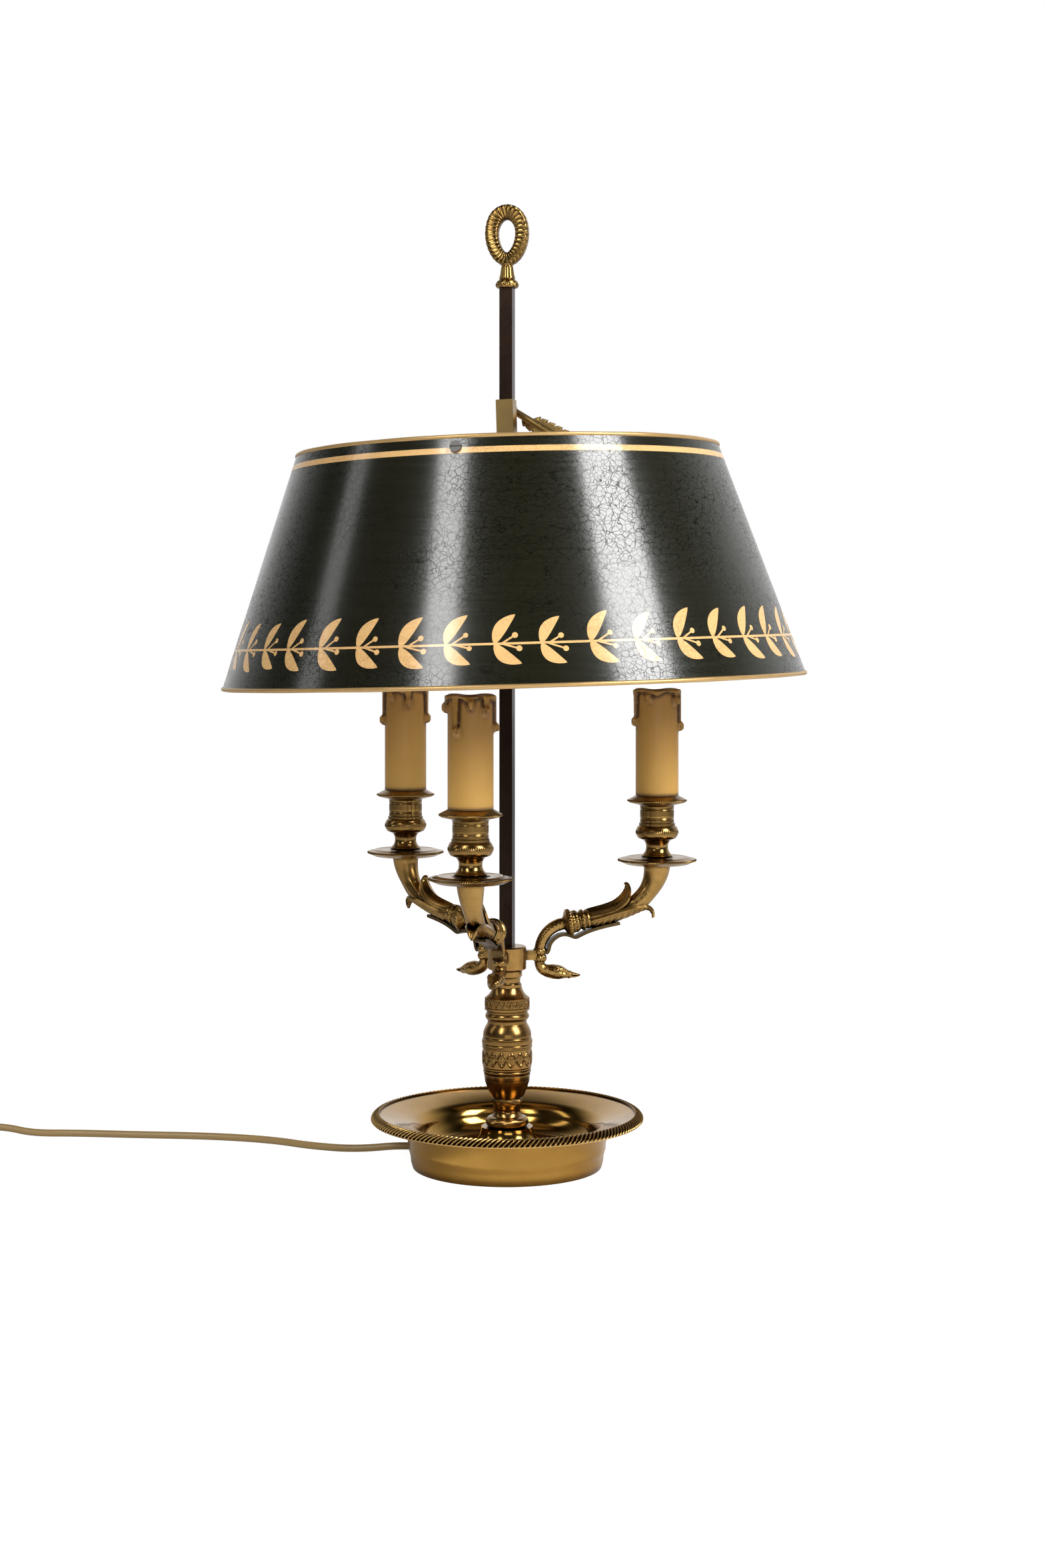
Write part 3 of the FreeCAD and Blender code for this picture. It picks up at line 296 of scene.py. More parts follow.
brassSet = {  # bright, dull and in the hollows (dark patina with painted shade); roughness; reach and depth of the hollows; scale of the clouds
    "dishBrass": ((0.44, 0.255, 0.06), (0.33, 0.18, 0.04), (0.05, 0.022, 0.005), 0.12, 0.006, 1.1, 22.0),
    "stemBrass": ((0.34, 0.195, 0.06), (0.20, 0.11, 0.033), (0.014, 0.006, 0.002), 0.22, 0.0016, 2.9),
    "armBrass": ((0.39, 0.235, 0.075), (0.24, 0.138, 0.04), (0.016, 0.007, 0.0025), 0.25, 0.0026, 2.6),
    "cupBrass": ((0.31, 0.185, 0.058), (0.19, 0.11, 0.034), (0.014, 0.007, 0.0025), 0.2, 0.003, 2.1),
    "ropeBrass": ((0.60, 0.38, 0.13), (0.46, 0.28, 0.09), (0.02, 0.009, 0.002), 0.3, 0.0016, 5.0),
    "finialBrass": ((0.37, 0.225, 0.07), (0.22, 0.125, 0.035), (0.014, 0.006, 0.002), 0.26, 0.0018, 3.0),
    "sleeveBrass": ((0.30, 0.205, 0.08), (0.24, 0.16, 0.058), (0.035, 0.02, 0.008), 0.34, 0.002, 1.2),
    "keyBrass": ((0.50, 0.33, 0.12), (0.33, 0.21, 0.07), (0.03, 0.015, 0.005), 0.3, 0.002, 2.0),
    "contactBrass": ((0.74, 0.60, 0.32), (0.60, 0.46, 0.22), (0.2, 0.13, 0.05), 0.3),
    "coverBrass": ((0.13, 0.085, 0.035), (0.07, 0.045, 0.02), (0.012, 0.007, 0.003), 0.34, 0.003, 1.6),
}
mouldingSet = {  # colour, roughness, strength of the flecks, depth of the grain in metres, metal
    "zincSteel": ((0.48, 0.48, 0.46), 0.38, 0.2, 0.00003, 1.0),
    "holderMoulding": ((0.04, 0.038, 0.036), 0.45),
    "brownMoulding": ((0.075, 0.045, 0.022), 0.33),
    "rockerMoulding": ((0.05, 0.03, 0.016), 0.28),
    "greenFelt": ((0.03, 0.10, 0.05), 0.95, 0.5, 0.0004),
    "jacketMoulding": ((0.34, 0.225, 0.085), 0.38, 0.25),
    "screwPaint": ((0.03, 0.022, 0.014), 0.35, 0.3),
    "linerPaint": ((0.30, 0.215, 0.11), 0.55, 0.2),
    "rimGilt": ((0.62, 0.39, 0.15), 0.36, 0.45, 0.00008, 0.6),
}
paintSet = {  # two brushed colours, colour in the cracks, roughness, share of the crack colour
    "shadePaint": ((0.0065, 0.0066, 0.0024), (0.0105, 0.0108, 0.0045), (0.0008, 0.0006, 0.0005), 0.36, 0.9),
    "gildPaint": ((0.56, 0.32, 0.125), (0.72, 0.46, 0.19), (0.20, 0.10, 0.035), 0.4, 0.6),
}
rodSet = {"bright": (0.028, 0.014, 0.008), "dull": (0.011, 0.006, 0.004), "scuff": (0.13, 0.08, 0.045)}
waxSet = {
    "low": (0.60, 0.35, 0.085),
    # the upper tube's colour, darkened as painted shade from the lamp's shade
    "high": (0.33, 0.17, 0.038),
    "cloud": (0.27, 0.115, 0.022),
    # painted shade round the drips
    "hollow": (0.055, 0.022, 0.006),
    "fade": (0.235, 0.285),  # heights in metres between which the tube darkens towards the top, painted shade from the lamp's shade
}


def makeBrass(name, bright, dull, dark, rough, reach=0.0025, depth=1.7, scale=60.0):
    # Cloudy tarnish from bright to dull, rougher where it is dull; dark in the hollows by occlusion, patina with
    # painted shade.
    material, tree, shader = startMaterial(name)
    mottle = placeGroup(tree, mottleGroup, {"Scale": scale, "Specks": 0.14})
    recess = placeGroup(tree, dirtAndShadeGroup, {"Reach": reach, "Depth": depth})
    cloud = stretch(tree, mottle["Cloud"], 0.0, 1.0, 0.3, 0.72)
    # The hollows' dark colour is patina with painted shade.
    skin = mixColour(tree, recess["Mask"], mixColour(tree, cloud, bright, dull), dark)
    gloss = stretch(tree, cloud, rough - 0.07, rough + 0.09)
    feed(tree, shader, {"Base Color": skin, "Roughness": gloss, "Metallic": 1.0})
    raiseGrain(tree, shader, mottle["Grain"], 0.00001, 0.6)
    return material


def makeMoulding(name, colour, rough, fleck=0.15, grain=0.00003, metal=0.0):
    # One colour, flecked darker, with a fine raised grain.
    material, tree, shader = startMaterial(name)
    mottle = placeGroup(tree, mottleGroup, {"Scale": 120.0, "Specks": 0.6})
    darker = tuple(part * (1 - fleck) for part in colour)
    skin = mixColour(tree, mottle["Cloud"], darker, colour)
    gloss = stretch(tree, mottle["Cloud"], rough - 0.06, rough + 0.06)
    feed(tree, shader, {"Base Color": skin, "Roughness": gloss, "Metallic": metal})
    raiseGrain(tree, shader, mottle["Grain"], grain)
    return material


def makeCrackedPaint(name, body, glow, crackColour, rough, crackShare):
    # Brushed paint under a clear coat that is gone along its hair cracks.
    material, tree, shader = startMaterial(name)
    lacquer = placeGroup(tree, crackGroup, {"Cells": 300.0})
    share = maths(tree, "MULTIPLY", lacquer["Crack"], crackShare)
    skin = mixColour(tree, share, mixColour(tree, lacquer["Brush"], body, glow), crackColour)
    feed(tree, shader, {
        "Base Color": skin,
        "Roughness": stretch(tree, lacquer["Brush"], rough - 0.06, rough + 0.1),
        "Specular IOR Level": 0.04,
        "Coat IOR": 1.62,
        "Coat Roughness": stretch(tree, lacquer["Brush"], 0.11, 0.22),
        "Coat Weight": stretch(tree, lacquer["Crack"], 0.85, 0.0),
    })
    raiseGrain(tree, shader, lacquer["Height"], 0.00006)
    return material


def makeRodBronze(name):
    # Dark brown patina with short pale scuffs along the rod: noise drawn out along Z, kept where it is high.
    material, tree, shader = startMaterial(name)
    mottle = placeGroup(tree, mottleGroup, {"Scale": 45.0, "Specks": 0.4})
    scuff = noise(tree, objectPlace(tree, (900, 900, 110)), 1.0, 5.0, 0.75)["Fac"]
    scuffMask = stretch(tree, scuff, 0.0, 1.0, 0.7, 0.85)
    cloud = stretch(tree, mottle["Cloud"], 0.0, 1.0, 0.4, 0.7)
    skin = mixColour(tree, scuffMask, mixColour(tree, cloud, rodSet["bright"], rodSet["dull"]), rodSet["scuff"])
    gloss = stretch(tree, mottle["Cloud"], 0.2, 0.42)
    feed(tree, shader, {"Base Color": skin, "Roughness": gloss, "Metallic": 0.85})
    raiseGrain(tree, shader, scuff, 0.00006)
    return material


def makeWax(name):
    # Amber tube: paler low down and darker towards the top as painted shade from the lamp's shade, brown round the
    # drips as painted shade in their hollows.
    material, tree, shader = startMaterial(name)
    mottle = placeGroup(tree, mottleGroup, {"Scale": 70.0, "Specks": 0.25})
    recess = placeGroup(tree, dirtAndShadeGroup, {"Reach": 0.003, "Depth": 6.0})
    height = addNode(tree, "ShaderNodeSeparateXYZ", {0: objectPlace(tree)}).outputs["Z"]
    # Painted shade: the tube darkens towards the top.
    skin = mixColour(tree, stretch(tree, height, 0.0, 1.0, *waxSet["fade"]), waxSet["low"], waxSet["high"])
    skin = mixColour(tree, stretch(tree, mottle["Cloud"], 0.0, 0.35), skin, waxSet["cloud"])
    # Painted shade round the drips, by occlusion.
    skin = mixColour(tree, recess["Mask"], skin, waxSet["hollow"])
    gloss = stretch(tree, mottle["Cloud"], 0.3, 0.46)
    feed(tree, shader, {"Base Color": skin, "Roughness": gloss, "Specular IOR Level": 0.3})
    raiseGrain(tree, shader, mottle["Grain"], 0.00004)
    return material


finishes = {}
for maker, values in ((makeBrass, brassSet), (makeMoulding, mouldingSet), (makeCrackedPaint, paintSet)):
    finishes.update({name: maker(name, *own) for name, own in values.items()})
finishes["rodBronze"] = makeRodBronze("rodBronze")
finishes["amberWax"] = makeWax("amberWax")
print("finishes made")

# Surfaces worked out on grids


def roundTurns(count):
    return np.linspace(0, 2 * math.pi, count, endpoint=False)


def smoothStep(value, low, high):
    # Nothing below low, one above high, s * s * (3 - 2 s) between.
    share = np.clip((value - low) / (high - low), 0, 1)
    return share * share * (3 - 2 * share)


def window(value, low, high, soft):
    # One between low and high, fading to nothing over soft beyond either end.
    return smoothStep(value, low - soft, low) * (1 - smoothStep(value, high, high + soft))


def strand(value, middle, width):
    # A soft ridge: exp(-((value - middle) / width)^2).
    return np.exp(-(((value - middle) / width) ** 2))


def bearingTurn(bearing):
    # Bearings run from the front toward +X; the turn is the angle from +X toward +Y.
    return math.radians(bearing - 90)


def gridQuads(index):
    corners = [index[:-1, :-1], index[:-1, 1:], index[1:, 1:], index[1:, :-1]]
    return np.stack(corners, axis=-1).reshape(-1, 4)


def makePiece(name, points, finish, body, closeAlong=False):
    # Points are an array of closed rings (along, around, xyz) in millimetres; quads join neighbours.
    along, around = points.shape[:2]
    index = np.arange(along * around).reshape(along, around)
    index = np.concatenate([index, index[:, :1]], axis=1)
    if closeAlong:
        index = np.concatenate([index, index[:1]], axis=0)
    quads = gridQuads(index)
    mesh = bpy.data.meshes.new(name)
    mesh.vertices.add(along * around)
    mesh.vertices.foreach_set("co", (points * mm).astype(np.float32).ravel())
    mesh.loops.add(quads.size)
    mesh.loops.foreach_set("vertex_index", quads.astype(np.int32).ravel())
    mesh.polygons.add(len(quads))
    mesh.polygons.foreach_set("loop_start", np.arange(0, quads.size, 4, dtype=np.int32))
    mesh.update(calc_edges=True)
    finishMesh(mesh)
    mesh.materials.append(finishes[finish])
    piece = putObject(name, mesh)
    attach(piece, body)
    return piece


def finishMesh(mesh):
    # Merges seams and poles, turns every face outwards and keeps true corners crisp.
    work = bmesh.new()
    work.from_mesh(mesh)
    bmesh.ops.remove_doubles(work, verts=work.verts, dist=1e-6)
    bmesh.ops.dissolve_degenerate(work, edges=work.edges, dist=1e-7)
    bmesh.ops.recalc_face_normals(work, faces=work.faces)
    work.to_mesh(mesh)
    work.free()
    mesh.shade_smooth()
    mesh.set_sharp_from_angle(angle=math.radians(40))


def walkOutline(steps, spacing):
    # Points along lines (x, z) and arcs (middle x, z, end x, z), as an array spaced about this far apart.
    runs = [np.array([steps[0]], float)]
    here = np.array(steps[0], float)
    for step in steps[1:]:
        there = np.array(step[-2:], float)
        if len(step) == 2:
            count = max(int(np.ceil(np.linalg.norm(there - here) / spacing)), 1)
            share = np.linspace(0, 1, count + 1)[1:, None]
            runs.append(here + (there - here) * share)
        else:
            middle = np.array(step[:2], float)
            side = np.array([middle - here, there - here])
            centre = here + np.linalg.solve(2 * side, (side**2).sum(axis=1))
            spokes = np.array([here, middle, there]) - centre
            turns = np.arctan2(spokes[:, 1], spokes[:, 0])
            first = (turns[1] - turns[0] + math.pi) % (2 * math.pi) - math.pi
            second = (turns[2] - turns[1] + math.pi) % (2 * math.pi) - math.pi
            radius = np.linalg.norm(spokes[0])
            count = max(int(np.ceil(abs(first + second) * radius / spacing)), 4)
            angle = turns[0] + (first + second) * np.linspace(0, 1, count + 1)[1:]
            runs.append(centre + radius * np.stack([np.cos(angle), np.sin(angle)], axis=-1))
        here = there
    return np.concatenate(runs)


def pathFrame(path):
    # Unit steps along a path, and their normals to the left of the way it runs.
    run = np.gradient(path, axis=0)
    run /= np.maximum(np.linalg.norm(run, axis=1, keepdims=True), 1e-9)
    return np.stack([-run[:, 1], run[:, 0]], axis=-1)


def spin(outline, segments, relief=None, centre=(0.0, 0.0)):
    # Turned work: every outline point is carried round Z, moved outward along its normal by relief(turn, z, r).
    turn = roundTurns(segments)[None, :]
    radius = np.repeat(outline[:, :1], segments, axis=1)
    height = np.repeat(outline[:, 1:], segments, axis=1)
    if relief is not None:
        rise = relief(turn, height, radius)
        normal = -pathFrame(outline)
        radius = radius + rise * normal[:, :1]
        height = height + rise * normal[:, 1:]
    return np.stack([radius * np.cos(turn) + centre[0], radius * np.sin(turn) + centre[1], height], axis=-1)


def makeTurned(name, steps, finish, spacing, segments, replaced=None, relief=None, centre=(0, 0)):
    points = spin(walkOutline(steps, spacing), segments, relief, centre)
    piece = makePiece(name, points, finish, "stand", closeAlong=True)
    if replaced:
        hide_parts(replaced)
    return piece


# The shade

shadeSet = {
    "lean": 1.7053,
    "sleeveLevel": 453.3,
    "topRadius": 131.5,
    "bottomRadius": 181.0,
    "top": 445.7,
    "bottom": 303.1,
    "wall": 0.8,
    "edge": 0.9,  # how far the sheet stops short of its rims
    "rimRadius": 1.3,
    "rimInset": 0.42,
    "lineBelowTop": 8.6,
    "lineWidth": 3.6,
}
garlandSet = {
    "units": 40,
    "stemRise": 25.0,
    "slopeShare": 0.328,  # how much the cone's radius shrinks for each step up its slant
    "stemWidth": 1.35,
    "upperTip": (12.2, 17.4),
    "lowerTip": (15.2, -12.4),
    "leafWidth": 7.3,
    "leafBulge": 2.3,
    "berries": [(11.9, 4.9), (14.1, -2.9)],
    "stalkRoot": 4.2,
    "stalkWidth": 1.05,
    "berryRadius": 1.65,
    "thick": 0.05,
}
shadeFlare = shadeSet["bottomRadius"] - shadeSet["topRadius"]
shadeRise = shadeSet["top"] - shadeSet["bottom"]
shadeSlant = math.hypot(shadeFlare, shadeRise)
stemRadius = shadeSet["bottomRadius"] - garlandSet["stemRise"] * garlandSet["slopeShare"]


def rockShade(points):
    # The shade's group leans by the play of its sleeve: a turn about -Y through the sleeve's middle.
    lean = math.radians(shadeSet["lean"])
    x, z = points[..., 0], points[..., 2] - shadeSet["sleeveLevel"]
    level = x * math.sin(lean) + z * math.cos(lean) + shadeSet["sleeveLevel"]
    return np.stack([x * math.cos(lean) - z * math.sin(lean), points[..., 1], level], axis=-1)


def shadePlace(arc, rise, lift):
    # Unrolled place on the cone: arc is the bearing in degrees, rise the slant height above the bottom edge.
    # radius = bottom - rise * sin(slope) + lift * cos(slope), height = rise * cos(slope) + lift * sin(slope).
    slope = math.atan2(shadeFlare, shadeRise)
    turn = np.radians(arc)
    radius = shadeSet["bottomRadius"] - rise * math.sin(slope) + lift * math.cos(slope)
    height = shadeSet["bottom"] + rise * math.cos(slope) + lift * math.sin(slope)
    return rockShade(np.stack([radius * np.sin(turn), -radius * np.cos(turn), height + 0 * turn], axis=-1))


def makeShade():
    # Painted skin outside and liner inside, each a closed cone from its face to the middle of the wall.
    wall = shadeSet["wall"]
    arc = np.linspace(0, 360, 720, endpoint=False)[None, :]
    up = np.linspace(shadeSet["edge"], shadeSlant - shadeSet["edge"], 60)
    for name, rises, face, finish in (("shadeSkin", up, 0.0, "shadePaint"),
                                      ("shadeLiner", up[::-1], -wall, "linerPaint")):
        rise = np.concatenate([rises, rises[::-1]])[:, None]
        depth = np.repeat([face, -0.5 * wall], 60)[:, None]
        piece = makePiece(name, shadePlace(arc, rise, depth), finish, "shade", closeAlong=True)
        if name == "shadeSkin":
            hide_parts("shade_shell")


def leafGrid(base, tip, width, bulge):
    # Along its chord t runs 0 to 1: half width = width / 2 * sin(pi t^0.85)^0.75, midline = bulge * 4t(1 - t).
    share = np.linspace(0, 1, 17)[:, None]
    side = np.linspace(-1, 1, 7)[None, :]
    chord = np.array(tip, float)
    across = np.array([-chord[1], chord[0]]) / np.linalg.norm(chord)
    half = width / 2 * np.sin(math.pi * share**0.85) ** 0.75
    aside = side * half + bulge * 4 * share * (1 - share)
    return base + chord * share[..., None] + across * aside[..., None]


def discGrid(centre, radius):
    # Rings of radius * share round the centre.
    turn = np.linspace(0, 2 * math.pi, 14)[None, :]
    share = np.linspace(0, 1, 3)[:, None]
    across, up = radius * share * np.cos(turn), radius * share * np.sin(turn)
    return np.stack([centre[0] + across, centre[1] + up], axis=-1)


def stripGrid(start, end, width, steps):
    # start + share * (end - start), widened square to itself.
    share = np.linspace(0, 1, steps)[:, None]
    side = np.linspace(-0.5, 0.5, 3)[None, :]
    start, end = np.array(start, float), np.array(end, float)
    run = (end - start) / np.linalg.norm(end - start)
    across = np.array([-run[1], run[0]])
    return start + (end - start) * share[..., None] + across * side[..., None] * width


def layOnShade(name, grids, body):
    # Many flat shapes (along the stem line, up from the bottom edge) become one mesh of paint on the cone:
    # bearing = along / stemRadius.
    places, faces, offset = [], [], 0
    for flat in grids:
        rows, columns = flat.shape[:2]
        faces.append(gridQuads(np.arange(rows * columns).reshape(rows, columns) + offset))
        arc = np.degrees(flat[..., 0] / stemRadius)
        places.append(shadePlace(arc, flat[..., 1], garlandSet["thick"]).reshape(-1, 3))
        offset += rows * columns
    mesh = bpy.data.meshes.new(name)
    mesh.from_pydata((np.concatenate(places) * mm).tolist(), [], np.concatenate(faces).tolist())
    mesh.materials.append(finishes["gildPaint"])
    piece = putObject(name, mesh)
    wall = piece.modifiers.new("paintDepth", "SOLIDIFY")
    wall.thickness = garlandSet["thick"] * 0.9 * mm
    wall.offset = -1
    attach(piece, body)
    return piece


def makeGarland():
    # Equal units round the cone, each a length of stem, two leaves and two stalked berries, drawn by hand: a
    # small random shift and size for each.
    c = garlandSet
    draw = np.random.default_rng(11)
    length = 2 * math.pi * stemRadius
    pitch = length / c["units"]
    rise = c["stemRise"]
    grids = []
    for unit in range(c["units"]):
        jitter = draw.normal(0, 1, 10)
        size = 1 + 0.04 * jitter[4]
        start = unit * pitch
        base = np.array([start + 0.4 * jitter[0], rise + 0.25 * jitter[1]])
        grids.append(stripGrid((start - 1, rise), (start + pitch, rise), c["stemWidth"], 7))
        upper = np.array(c["upperTip"]) * size + 0.5 * jitter[2:4]
        lower = np.array(c["lowerTip"]) * size + 0.5 * jitter[5:7]
        grids.append(leafGrid(base, upper, c["leafWidth"] * size, c["leafBulge"]))
        grids.append(leafGrid(base, lower, c["leafWidth"] * size, -c["leafBulge"]))
        root = base + np.array([c["stalkRoot"], 0])
        for berry in c["berries"]:
            tip = base + np.array(berry) + 0.35 * jitter[7:9]
            grids.append(stripGrid(root, tip, c["stalkWidth"], 5))
            grids.append(discGrid(tip, c["berryRadius"] * (1 + 0.06 * jitter[9])))
    piece = layOnShade("shadeGarland", grids, "shade")
    middle = shadeSlant - shadeSet["lineBelowTop"]
    band = [stripGrid((0, middle), (length, middle), shadeSet["lineWidth"], 361)]
    line = layOnShade("shadeLine", band, "shade")


def makeRims():
    # Rolled wire edges: a ring of radius rimRadius, plus a slight wave of the turn.
    c = shadeSet
    turn = roundTurns(480)[None, :]
    around = roundTurns(20)[:, None]
    thick = c["rimRadius"] + (0.06 * np.sin(7 * turn) + 0.05 * np.sin(17 * turn + 1))
    for title, name, radius, height in (("rolledOp", "shade_rim_top", c["topRadius"], c["top"]),
                                        ("rolledOttom", "shade_rim_bottom", c["bottomRadius"], c["bottom"])):
        reach = radius - c["rimInset"] + thick * np.cos(around)
        rise = height + thick * np.sin(around)
        points = rockShade(np.stack([reach * np.cos(turn), reach * np.sin(turn), rise], axis=-1))
        piece = makePiece(title, points, "rimGilt", "shade", closeAlong=True)
        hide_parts(name)


makeShade()
makeGarland()
makeRims()
print("shade painted")

# Turned pieces with their knurls and friezes; outlines are radius and height

dishSet = {
    "strokes": 168,
    "strokeDepth": 0.75,
    "strokeSlant": 0.62,
    "crossSlant": 1.9,
    "strokeRadius": 82.0,
    "outline": [
        (5.0, 24.5), (5.0, 23.0), (14.0, 23.0), (17.0, 16.0), (22.0, 9.0), (46.0, 9.0), (56.0, 13.0, 60.0, 22.0),
        (60.3, 11.7), (58.9, 7.5), (57.5, 2.3), (57.5, 0.0), (59.0, 0.0), (60.0, 3.3), (60.4, 7.5), (61.7, 11.7),
        (63.4, 20.5, 68.0, 28.0), (80.6, 28.6), (80.9, 31.9), (79.9, 32.4), (70.0, 30.2, 61.5, 27.6),
        (57.3, 24.9, 55.0, 21.0), (51.8, 14.6, 46.0, 11.3), (44.0, 10.6, 41.0, 10.5), (26.0, 10.5),
        (18.6, 17.0, 16.0, 24.5),
    ],
    "rope": [
        (80.3, 28.55), (84.3, 28.6), (85.15, 29.4), (85.1, 30.6), (83.6, 32.6, 80.9, 33.9), (80.0, 33.6),
        (79.8, 31.0),
    ],
}


def ropeRelief(turn, height, radius):
    # Diagonal strokes: depth * (cos(strokes * (turn + slant * path / radius)) - 1), only on the rolled top.
    c = dishSet
    path = (radius - 80) - (height - 33.5)
    wave = np.cos(c["strokes"] * turn + c["strokes"] * c["strokeSlant"] * path / c["strokeRadius"])
    cross = np.cos(c["strokes"] * turn - c["strokes"] * c["crossSlant"] * path / c["strokeRadius"])
    top = window(height, 29.6, 34.2, 0.5) * smoothStep(radius, 80.1, 80.8)
    return c["strokeDepth"] * (wave - 1) * top + 0.05 * cross * top


def makeDish():
    piece = makeTurned("dishBody", dishSet["outline"], "dishBrass", 1.2, 240, "base_dish")
    rope = makeTurned("dishRope", dishSet["rope"], "ropeBrass", 0.32, 1680, relief=ropeRelief)


stemSet = {
    "foot": [
        (5.0, 24.5), (11.7, 24.5), (13.3, 27.5, 11.7, 30.5), (9.5, 31.1), (8.2, 34.1, 9.0, 37.9), (9.0, 38.5),
        (5.0, 38.5),
    ],
    "baluster": [
        (5.0, 38.5), (9.0, 38.5), (9.5, 40.5, 9.0, 42.5), (10.1, 43.3), (12.8, 49.5, 14.6, 58.0), (15.0, 59.0),
        (15.0, 61.5), (15.3, 62.1), (15.3, 73.7), (15.7, 74.1), (15.7, 79.1), (15.2, 79.5),
        (14.6, 84.5, 12.8, 88.3), (12.3, 89.0), (12.3, 91.1), (13.7, 93.3, 12.8, 95.5), (12.8, 96.7), (5.0, 96.7),
    ],
    "ring": [
        (5.0, 96.7), (12.9, 96.7), (12.9, 97.5), (14.1, 97.5), (14.1, 98.7), (13.7, 99.0), (13.7, 103.3),
        (13.9, 103.6), (13.9, 104.9), (12.3, 106.1), (10.5, 108.3, 9.1, 111.7), (9.1, 113.3), (5.0, 113.3),
    ],
    "collar": [
        (5.0, 113.3), (8.5, 113.3), (8.2, 115.7, 8.8, 117.9), (9.3, 118.2), (9.4, 120.3, 9.3, 122.5), (5.0, 122.5),
    ],
    "spacing": {"foot": 0.35, "baluster": 0.3, "ring": 0.28, "collar": 0.4},
    "frieze": 67.9,  # the middle height of the scrolls
}


def stemRelief(turn, height, radius):
    # Knurls are cosines of turn and height; the scroll frieze is two strands that cross as cosines, with a
    # finer curl and a round eye where they part; the acanthus is a strand on |cos(11 turn)|.
    outside = smoothStep(radius, 7.0, 7.9)
    footKnurl = 0.16 * np.cos(84 * turn + 3.2 * height) * window(height, 26.2, 28.8, 0.4)
    footKnurl += 0.14 * np.cos(60 * turn - 3.4 * height) * window(height, 39.2, 41.8, 0.4)
    beads = 0.3 * (np.abs(np.cos(30 * turn)) - 0.6) * window(height, 52.3, 53.4, 0.4)
    middle = stemSet["frieze"]
    swing = 3.7 * np.cos(8 * turn)
    scroll = np.maximum(strand(height, middle + swing, 0.62), strand(height, middle - swing, 0.62))
    curl = strand(height, middle + 2.1 * np.cos(24 * turn), 0.5)
    eye = np.exp(-((np.sin(8 * turn) / 0.3) ** 2) - ((height - middle) / 1.5) ** 2)
    frieze = 0.42 * np.maximum(np.maximum(scroll, 0.55 * curl), eye) * window(height, 62.6, 73.2, 0.3)
    ridges = -0.3 * (strand(height, 60.2, 0.3) + strand(height, 57.6, 0.22) + strand(height, 80.6, 0.25))
    beading = 0.26 * (np.abs(np.cos(40 * turn)) - 0.5) * window(height, 77.2, 78.4, 0.25)
    grooves = -0.22 * (strand(height, 75.1, 0.2) + strand(height, 76.4, 0.2))
    lobe = np.abs(np.cos(11 * turn))
    acanthus = 0.5 * strand(height, 99.4 + 3.6 * lobe**1.6, 0.55) + 0.3 * strand(np.sin(22 * turn), 0.0, 0.35)
    acanthus = np.clip(acanthus, 0, 0.5) * window(height, 99.2, 103.1, 0.25)
    twist = 0.16 * np.cos(70 * turn + 2.5 * height) * window(height, 103.9, 104.7, 0.2)
    return (footKnurl + beads + frieze + ridges + beading + grooves + 0.8 * acanthus + twist) * outside


def makeStem():
    for part, spacing in stemSet["spacing"].items():
        piece = makeTurned("stem" + part.capitalize(), stemSet[part], "stemBrass", spacing, 432, "stem_" + part,
                           stemRelief)


cupSet = {
    "reach": 96.3,
    "bearings": {"front": 0.0, "left": -123.5, "right": 113.0},
    "pan": [
        (5.0, 186.0), (15.5, 186.0), (20.0, 186.5), (24.0, 188.3), (24.75, 188.7), (24.75, 189.3), (24.1, 189.9),
        (22.6, 190.0), (19.6, 191.0), (17.8, 190.7), (12.0, 190.6), (10.0, 191.2), (5.0, 191.2),
    ],
    "cup": [
        (5.0, 191.2), (9.6, 191.2), (10.0, 191.8), (9.4, 192.4), (6.9, 197.0, 8.6, 201.6), (11.7, 202.8),
        (13.4, 206.6, 12.1, 210.4), (11.3, 210.9), (11.3, 212.4), (10.7, 212.9), (10.7, 223.2), (11.4, 224.0),
        (17.2, 225.3), (18.6, 226.2), (18.75, 226.7), (18.4, 227.3), (14.6, 229.3), (13.5, 229.9), (13.5, 227.0),
        (5.0, 227.0),
    ],
    "strokes": 96,
    "scribed": (215.2, 216.2, 221.2, 222.2),
}
candleSet = {
    "radius": 13.5,
    "bore": 12.1,
    "bottom": 227.0,
    "top": 297.5,
    "skin": 2.6,
    "wax": 1.7,
    "bulb": 1.8,
    "drips": {  # angle from the camera's line, length, width
        "left": [(-80, 21, 3.0), (-38, 6, 2.6), (10, 10, 3.2), (76, 20, 3.0), (128, 15, 3.0), (-140, 12, 3.0)],
        "front": [(-36, 21, 3.3), (2, 5, 2.6), (40, 9, 3.2), (86, 19, 3.0), (-86, 7, 4.6), (150, 16, 3.0)],
        "right": [(-72, 20, 3.2), (-24, 5, 2.8), (52, 7, 2.8), (80, 23, 3.0), (140, 14, 3.0), (-135, 9, 3.0)],
    },
}


def cupRelief(turn, height, radius):
    # Milled edges and a knurled belt as cosines of the turn; scribed pairs as narrow grooves at set heights.
    milled = 0.16 * np.cos(cupSet["strokes"] * turn) * (radius > 18.2) * window(height, 226.3, 227.1, 0.3)
    milled = milled + 0.2 * np.cos(120 * turn) * smoothStep(radius, 24.2, 24.6)
    belt = 0.2 * np.cos(56 * turn + 2.6 * height) * window(height, 205.8, 207.6, 0.35)
    pairs = sum(strand(height, level, 0.2) for level in cupSet["scribed"])
    return milled + belt * (radius > 12) - 0.22 * pairs * (radius > 10) * (radius < 11.5)


